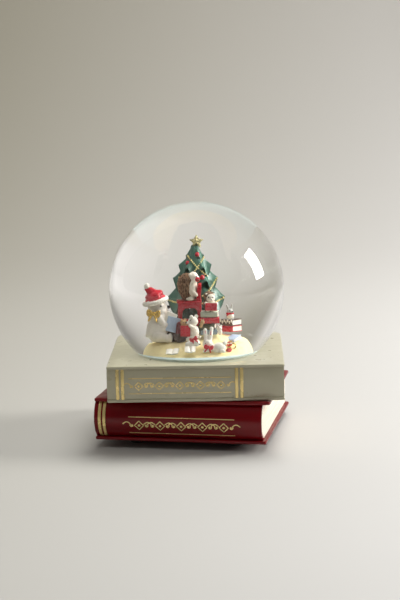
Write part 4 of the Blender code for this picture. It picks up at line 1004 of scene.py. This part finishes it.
def polar_bear():
    body = fused([ball((-17.3, -6, 18.6), (5.3, 6.0, 6.8), 6), ball((-17.2, -6, 23.6), (4.7, 5.3, 4.8)),
                  ball((-17.0, -6, 26.4), (4.2, 4.5, 3.2)), ball((-17.7, -6, 28.8), (4.2, 4.1, 3.8)),
                  limb((-15.6, -6, 28.2), (-14.1, -6, 28.0), 2.3, 1.5),
                  limb((-17.6, -10.2, 24.0), (-15.2, -10.2, 20.8), 2.1, 1.8),
                  limb((-15.2, -10.2, 20.8), (-13.4, -9.4, 21.4), 1.7, 1.4),
                  limb((-17.0, -1.6, 24.0), (-13.2, -2.4, 21.2), 2.1, 1.7),
                  limb((-17.8, -10.2, 15.8), (-13.2, -10.6, 14.2), 2.9, 1.7),
                  ball((-12.3, -10.6, 14.9), (1.1, 1.7, 2.3)),
                  limb((-16.8, -2.6, 15.4), (-12.6, -3.2, 14.2), 2.6, 1.7),
                  ball((-11.8, -3.2, 14.8), (1.1, 1.6, 2.2)), ball((-21.4, -8.6, 30.6), (1.3, 0.9, 1.4)),
                  ball((-22.0, -5.5, 15.8), 1.3), ball((-19.4, -6, 17.6), (3.4, 5.2, 4.4))],
                 0.3, 6, 0.07, 0.8, (0.7, 0.7, 1.6))
    body = cut(body, drum(30, 2, 12.7, (-17, -6), 24))
    nose = dab((-12.6, -6.1, 28.5), (0.85, 1.05, 0.8))
    mouth = tube([(-13.1, -7.2, 27.2), (-13.8, -7.75, 26.8), (-14.7, -8.1, 27.1)], 0.1, 5)
    face = [nose, *eyes((-16.2, -9.75, 29.5, 0.42), (-15.2, -2.5, 29.5, 0.42)), mouth]
    piece("bear", [(body, BEAR), (face, BLACK)], "polar_bear")

    brim = moved(hoop(26, 5.0, 4.7, 1.15), at((-18.3, -6, 31.2), tilt=-15))
    cap = [ball((-18.4, -6, 32.2), (4.8, 4.4, 1.9), -15), ball((-18.9, -6, 33.8), (4.3, 3.9, 2.2), -20),
           limb((-19.6, -6, 34.8), (-21.8, -6, 36.6), 2.4, 1.4)]
    piece("bear_hat", [(fused(cap, 0.24, 4, 0.2, 1.4), RED), (fused([brim], 0.22, 3, 0.22, 0.55), WHITE),
                       (fused([ball((-22.2, -6, 38.0), 1.4)], 0.18, 2, 0.3, 0.42), WHITE)], "santa_hat")
    piece("bear_bow", [(bow((-20.0, -11.8, 26.4), 3.2, -8, 6), GOLD_PAINT)], "gold_bow")
    fan = moved(prism([(-4.2, 0.5), (0.6, 0.5), (0.6, 2.0), (-4.2, 2.0)], -3.0, 4.9), at((0, 0, 0), tilt=8))
    held_book("blue_book", (-11.0, -10.6, 21.0), (6.0, 6.9), BLUE, "bear_book", 15, 6, 5, 1.0,
              [(bevelled(fan, 0.1), LEAF)])


def white_cub_and_fox():
    body = fused([ball((-1.6, -13.4, 17.6), (2.4, 2.4, 3.5)), ball((-1.9, -13.4, 22.6), (2.35, 2.2, 2.15)),
                  limb((-3.0, -13.8, 22.2), (-4.3, -14.0, 22.0), 1.2, 0.8),
                  ball((-2.6, -15.0, 24.9), (0.95, 0.6, 0.95)), ball((-0.4, -12.2, 24.8), (0.95, 0.6, 0.95)),
                  limb((-1.6, -15.4, 19.6), (-3.4, -15.9, 20.9), 0.95, 0.8),
                  limb((-1.8, -14.6, 15.0), (-4.4, -15.0, 14.3), 1.4, 1.05),
                  limb((-1.8, -12.0, 15.0), (-4.2, -11.8, 14.4), 1.4, 1.05),
                  ball((0.9, -13.0, 15.2), 0.8)], 0.2, 4, 0.09, 0.45, (1, 1, 1.6))
    nose = dab((-5.0, -14.1, 22.3), (0.45, 0.5, 0.42))
    face = [nose, *eyes((-3.2, -15.4, 23.3, 0.26), (-3.6, -12.4, 23.3, 0.26))]
    piece("white_cub", [(body, WHITE), (face, BLACK)], "small_bear")
    held_book("cub_book", (-5.6, -15.2, 18.3), (4.6, 5.2), RED, "small_bear_book", 2, -6, 7, 0.7)

    head = fused([ball((-6.0, -12.4, 21.7), (1.7, 1.7, 1.6)),
                  limb((-5.4, -13.2, 21.2), (-4.7, -13.8, 21.0), 0.8, 0.6),
                  ball((-7.1, -13.0, 23.1), (0.6, 0.4, 0.75)), ball((-5.4, -11.4, 23.2), (0.6, 0.4, 0.75))],
                 0.18, 3, 0.06, 0.5)
    # The rear ball fills the dark patch behind the bear's leg: dark coat, partly painted shade there.
    coat = fused([ball((-8.2, -11.6, 15.2), (2.7, 2.5, 2.5)), ball((-11.4, -8.4, 15.8), (3.6, 2.6, 2.8)),
                  ball((-6.4, -12.4, 15.6), (1.8, 1.6, 2.4))], 0.22, 4, 0.12, 0.5)
    scarf = fused([moved(hoop(18, 1.6, 1.6, 0.55), at((-6.4, -12.3, 19.8))),
                   limb((-8.0, -11.6, 21.0), (-8.4, -11.8, 17.0), 1.5, 1.6)], 0.16, 2, 0.06, 0.4)
    face = eyes((-4.5, -13.95, 21.2, 0.36), (-6.2, -14.0, 22.2, 0.24), (-5.0, -13.4, 22.3, 0.24))
    piece("fox", [(head, TAN), (coat, DARK_COAT_AND_SHADE), (scarf, MAROON), (face, BLACK)], "brown_fox")
    squirrel = fused([ball((2.4, -12.8, 22.2), (1.0, 0.9, 1.0)),
                      limb((2.0, -12.8, 21.2), (1.6, -12.8, 20.2), 0.8, 0.7),
                      dab((1.9, -13.0, 23.3), (0.3, 0.25, 0.4)), dab((2.8, -13.0, 23.3), (0.3, 0.25, 0.4))],
                     0.14, 3)
    piece("squirrel", [(squirrel, TAN), (eyes((1.9, -13.65, 22.3, 0.16), (2.6, -13.7, 22.3, 0.16)), BLACK)])


def stack_and_hedgehog():
    shut_book("stack_blue", (5.1, -8.8, 17.1), (7.6, 7.2, 2.1), BLUE_GREY, "stack_book_blue", 2)
    shut_book("stack_dark", (4.4, -8.8, 19.7), (7.4, 7.0, 2.5), MOSS, "stack_book_dark", -4)
    shut_book("stack_red", (5.8, -8.8, 22.6), (8.2, 7.2, 2.7), RED, "stack_book_red", 3)
    shut_book("stack_pale", (5.6, -8.8, 25.35), (7.8, 6.8, 2.4), SAGE, "stack_book_pale", -3)
    coat = fused([ball((5.6, -7.8, 29.8), (2.8, 2.4, 3.4)), ball((5.5, -8.0, 33.2), (2.45, 2.2, 2.3))],
                 0.2, 3, 0.3, 0.45, (1.6, 1.6, 0.5))
    soft = fused([ball((6.2, -9.1, 29.4), (2.2, 1.6, 2.8)), ball((6.2, -9.1, 32.6), (2.05, 1.8, 2.0)),
                  limb((6.4, -10.4, 32.1), (6.6, -11.1, 31.9), 0.85, 0.6),
                  limb((4.6, -9.8, 30.0), (4.1, -11.4, 30.6), 0.85, 0.7),
                  limb((7.8, -9.8, 30.0), (8.9, -11.2, 30.4), 0.85, 0.7),
                  ball((5.1, -11.0, 27.4), (1.0, 1.3, 0.95)), ball((7.5, -11.0, 27.4), (1.0, 1.3, 0.95)),
                  ball((4.4, -9.4, 34.4), (0.6, 0.4, 0.6)), ball((7.7, -9.2, 34.2), (0.6, 0.4, 0.6))],
                 0.18, 3, 0.04, 0.5)
    face = eyes((5.4, -10.75, 33.1, 0.34), (7.3, -10.6, 33.0, 0.34), (6.65, -11.6, 32.1, 0.38))
    piece("hedgehog_reader", [(coat, SPINES), (soft, CREAM), (face, BLACK)], "reading_hedgehog")
    held_book("hedgehog_reading_book", (6.5, -12.3, 29.0), (5.6, 3.5), RED, "hedgehog_book", 3, 0, -14, 0.6)
    mouse = fused([ball((9.8, -9.6, 18.6), (1.25, 1.2, 1.2)), ball((10.2, -10.0, 17.0), (1.0, 0.9, 1.4)),
                   dab((9.2, -9.8, 19.9), (0.55, 0.3, 0.55)), dab((10.6, -9.6, 19.9), (0.55, 0.3, 0.55))],
                  0.15, 3, 0.04, 0.4)
    piece("mouse", [(mouse, WHITE), (eyes((10.6, -10.8, 18.6, 0.24), (9.6, -10.75, 19.0, 0.16)), BLACK)])


def right_side():
    shut_book("side_red", (14.1, 1.6, 17.7), (7.0, 6.4, 2.6), RED, "side_book_red", -35)
    drips = [dab((k - 2.9, -3.2, 0.85 - 0.6 * (k % 2)), (0.36, 0.3, 0.75)) for k in range(7)]
    shut_book("side_brown", (14.1, 1.6, 20.4), (7.0, 6.4, 2.6), BROWN_BOOK, "side_book_brown", -37,
              extra=[(drips, CREAM)])
    rabbit = fused([ball((14.0, 0.2, 23.2), (1.8, 1.5, 1.7)), ball((14.0, 0.0, 25.2), (1.35, 1.3, 1.2)),
                    limb((13.4, 0.4, 25.8), (12.7, 0.6, 27.7), 0.55, 0.48),
                    limb((14.5, 0.4, 25.8), (14.9, 0.7, 27.8), 0.55, 0.48),
                    ball((15.0, -1.0, 21.9), (0.8, 0.8, 0.55)), ball((13.0, -1.0, 21.9), (0.8, 0.8, 0.55)),
                    limb((14.6, -1.0, 25.0), (14.9, -1.4, 24.9), 0.7, 0.5)], 0.15, 3, 0.05, 0.4)
    belly = ball((14.2, -0.7, 23.0), (1.5, 1.1, 1.45))
    scarf = fused([moved(hoop(18, 1.3, 1.25, 0.48), at((14.0, 0.0, 24.3))),
                   limb((13.4, -1.2, 24.2), (12.9, -1.3, 23.6), 0.5, 0.4)], 0.15, 2, 0.06, 0.4)
    face = eyes((15.15, -1.75, 25.1, 0.36), (14.0, -1.3, 25.6, 0.2))
    piece("rabbit_grey", [(rabbit, GREY), (belly, CREAM), (scarf, RED), (face, BLACK)], "grey_rabbit")
    shut_book("side_blue", (16.0, -8.6, 13.7), (5.6, 5.4, 1.6), BLUE, "side_book_blue", -38, 4, 22)


def on_the_sand():
    body = fused([ball((10.0, -19.0, 9.6), (3.7, 2.5, 2.9)), ball((4.7, -19.8, 12.1), (2.5, 2.1, 2.2)),
                  limb((7.6, -19.3, 9.8), (4.8, -19.8, 10.4), 2.1, 1.6),
                  limb((4.0, -19.4, 13.2), (3.6, -18.8, 19.0), 1.15, 0.9),
                  limb((5.7, -19.2, 13.2), (6.7, -18.6, 19.6), 1.15, 0.9),
                  limb((5.4, -21.0, 8.8), (3.0, -21.6, 8.2), 1.0, 0.8),
                  limb((11.4, -20.6, 7.9), (12.9, -21.2, 7.4), 1.2, 0.8)], 0.22, 4, 0.08, 0.45, (1, 1, 1.5))
    tail = fused([ball((12.9, -18.9, 12.0), 1.2)], 0.16, 2, 0.2, 0.4)
    face = eyes((3.7, -21.55, 12.4, 0.27), (5.3, -21.55, 12.4, 0.27), (4.4, -21.85, 11.6, 0.24))
    ears = [moved(dab((0, 0, 0), (0.32, 0.12, 2.2)), at((x, -19.75, 16.6), tilt=tilt))
            for x, tilt in ((3.8, -3), (6.2, 8))]
    piece("rabbit_white", [(body, WHITE), (tail, WHITE), (face, BLACK), (ears, PINK)], "lying_rabbit")
    piece("rabbit_bow", [(bow((5.3, -22.2, 10.4), 2.3, 6, 12), RED)])
    cub = fused([ball((-3.4, -21.4, 11.9), (2.7, 2.0, 2.0)), ball((-0.6, -22.0, 12.5), (1.9, 1.7, 1.6)),
                 limb((-0.2, -22.4, 12.2), (0.6, -22.9, 12.0), 0.85, 0.6),
                 limb((-3.0, -22.8, 10.6), (-1.8, -24.0, 9.9), 0.9, 0.7),
                 ball((-1.7, -21.4, 14.1), (0.6, 0.4, 0.6)), ball((0.2, -21.6, 14.1), (0.6, 0.4, 0.6))],
                0.17, 3, 0.06, 0.4)
    face = [dab((1.0, -23.1, 12.1), (0.5, 0.45, 0.42)), *eyes((0.0, -23.5, 13.0, 0.22))]
    piece("cub_lying", [(cub, WHITE), (face, BLACK)], "lying_cub")
    piece("cub_bow", [(bow((-2.0, -22.9, 14.9), 2.0, -10, -24), RED)])
    spread_book("book_front", (-3.8, -25.6, 9.0), (5.4, 5.8, 1.0), LEAF, "front_book", -4, 0, 34)
    spread_book("book_left", (-12.6, -23.4, 7.6), (6.8, 6.2, 1.1), SAGE, "left_book", -16, -6, 30)

    upper_bauble = (14.9, -15.0, 11.3)
    balls, caps = [], []
    for centre, size in ((upper_bauble, 1.4), ((14.9, -17.4, 8.0), 1.45)):
        balls.append(ball(centre, size))
        cap = lathe([(0, size - 0.1), (0.5, size - 0.1), (0.5, size + 0.35), (0, size + 0.4)], 16)
        caps.append(moved(cap, at(centre, 0, 30, 20)))
    dabs = [moved(dab((0, -1.35, 0.3), (0.42, 0.12, 0.42)),
                  Matrix.Translation(upper_bauble) @ Matrix.Rotation(angle, 4, "Z"))
            for angle in (-0.9, -0.2, 0.5, 1.2)]
    piece("baubles", [(balls, PINK_RED), (caps, GOLD_PAINT), (dabs, CREAM)], "floor_bauble")
    ring = tube([(x, 0, z) for x, z in circle(30, 1.5)], 0.3, closed=True)
    piece("gold_ring", [(moved(ring, at((16.5, -15.4, 9.9), 24, 10)), GOLD_PAINT)])


# ---- Underside and movement ----------------------------------------------------------------
def underside():
    for node in ("foot_1", "foot_2", "foot_3", "foot_4"):
        low, high = cad_mm(node)
        radius, top = (high.x - low.x) / 2, high.z
        shares = [(0, 0.5), (0.45, 0.5), (0.5, 0.0), (0.86, 0.0), (0.97, 0.35), (1, 0.9), (1, top - 1.2),
                  (0.93, top - 1.0), (0.93, top - 0.5), (1, top - 0.3), (1, top), (0, top)]
        foot = lathe([(radius * share, height) for share, height in shares])
        piece("rubber_" + node, [(foot, RUBBER)], node, Matrix.Translation(axis_of(node)))
    looks = {"steel": STEEL, "brass": BRASS, "cast_zinc": CAST, "black_plastic": MOULDED}
    for name, slot in SLOTS.items():
        node = frame["nodes"][name]
        if slot in looks and not node.hide_render:
            node.data.materials.clear()
            node.data.materials.append(looks[slot])
            soft = node.modifiers.new("soft_edges", "BEVEL")
            soft.width = 0.08 * MM
            soft.segments = 2
            soft.limit_method = "ANGLE"
            soft.angle_limit = math.radians(50)


# ---- Stage, light and camera, in metres ----------------------------------------------------
def stage():
    """Pale floor that curves up into a backdrop, darker to the left and the back as painted shade. Far to the
    left it glows.
    """
    flat_end, bend, side, top = 0.55, 0.9, 3.0, 4.0
    profile = [(-side, 0.0), (flat_end, 0.0)]
    for k in range(1, 15):
        angle = math.pi / 2 * k / 14
        profile.append((flat_end + bend * math.sin(angle), bend * (1 - math.cos(angle))))
    profile.append((flat_end + bend, top))
    bm = bmesh.new()
    grid = [[bm.verts.new((-side + 2 * side * k / 24, y, z)) for k in range(25)] for y, z in profile]
    for low, high in zip(grid, grid[1:]):
        stitch(bm, low, high, closed=False)
    mesh = bpy.data.meshes.new("sweep")
    bm.to_mesh(mesh)
    bm.free()
    mesh.shade_smooth()
    sweep = bpy.data.objects.new("sweep", mesh)
    scene.collection.objects.link(sweep)
    made, tree, shader = nodes_of("backdrop")
    spot = new_node(tree, "ShaderNodeSeparateXYZ", {0: where(tree)}).outputs
    # The base colour runs darker to the left and to the back: painted shade for the fall of light across the
    # sweep.
    right = ramp(tree, spot["X"], 0.0, 1.0, -0.28, 0.24)
    back = ramp(tree, spot["Y"], 0.0, 1.0, -0.2, 1.5)
    front = mixed(tree, right, linear(0.61, 0.60, 0.56), linear(0.76, 0.755, 0.75))
    far = mixed(tree, right, linear(0.53, 0.51, 0.45), linear(0.60, 0.585, 0.555))
    feed(tree, shader, {"Base Color": mixed(tree, back, front, far), "Roughness": 0.9,
                        "Emission Color": (1.0, 0.97, 0.94, 1),
                        "Emission Strength": ramp(tree, spot["X"], 0.5, 0.0, -0.95, -0.5)})
    mesh.materials.append(made)


def area(name, spot, size, power, colour=(1, 1, 1), seen=False):
    """Soft box that faces the globe. Glossy and transmission rays see it only when it is seen."""
    light = bpy.data.lights.new(name, "AREA")
    light.shape = "RECTANGLE"
    light.size, light.size_y = size
    light.energy = power
    light.color = colour
    made = bpy.data.objects.new(name, light)
    made.location = spot
    made.visible_glossy = made.visible_transmission = seen
    middle = Vector((AXIS.x, AXIS.y, CENTRE_Z)) * MM
    made.rotation_euler = (middle - Vector(spot)).to_track_quat("-Z", "Y").to_euler()
    scene.collection.objects.link(made)


def lights():
    area("softbox_right", (1.05, 0.06, 0.50), (0.34, 0.54), 14.0, (1.0, 0.985, 0.96), seen=True)
    area("overhead_back", (0.4, 0.5, 1.45), (1.0, 0.8), 27.0)
    area("fill_left", (-1.4, -0.9, 0.9), (1.2, 1.2), 1.6, (1.0, 0.97, 0.92))
    area("front_top", (0.15, -1.0, 1.7), (0.7, 0.5), 6.5)
    world = bpy.data.worlds.new("studio")
    world.use_nodes = True
    tree = world.node_tree
    direction = new_node(tree, "ShaderNodeTexCoord").outputs["Generated"]
    back = new_node(tree, "ShaderNodeSeparateXYZ", {0: direction}).outputs["Y"]
    strength = ramp(tree, back, 0.07, 0.5, -0.8, 0.8)
    through = new_node(tree, "ShaderNodeLightPath").outputs["Is Transmission Ray"]
    brighter = new_node(tree, "ShaderNodeMath", {0: through, 1: 0.42, 2: strength}, operation="MULTIPLY_ADD")
    feed(tree, tree.nodes["Background"], {"Color": (0.95, 0.93, 0.90, 1), "Strength": brighter.outputs[0]})
    scene.world = world


def camera():
    """The photo's camera: a long lens that looks a little down, with a small roll."""
    place, down, roll = (0.00435, -0.8668, 0.2397), 10.61, 1.37
    data = bpy.data.cameras.new("camera")
    data.lens = 91.95
    data.sensor_width = 36.0
    data.clip_start, data.clip_end = 0.05, 20.0
    made = bpy.data.objects.new("camera", data)
    made.matrix_world = (Matrix.Translation(place) @ Matrix.Rotation(math.radians(90 - down), 4, "X")
                         @ Matrix.Rotation(math.radians(-roll), 4, "Z"))
    scene.collection.objects.link(made)
    scene.camera = made


base_books()
globe()
sand()
christmas_tree()
hedgehog_on_chair()
polar_bear()
white_cub_and_fox()
stack_and_hedgehog()
right_side()
on_the_sand()
underside()
stage()
lights()
camera()
scene.view_settings.view_transform = "Standard"
scene.cycles.max_bounces = 16
scene.cycles.transmission_bounces = 12
scene.cycles.transparent_max_bounces = 16
scene.cycles.caustics_refractive = False
scene.cycles.caustics_reflective = False
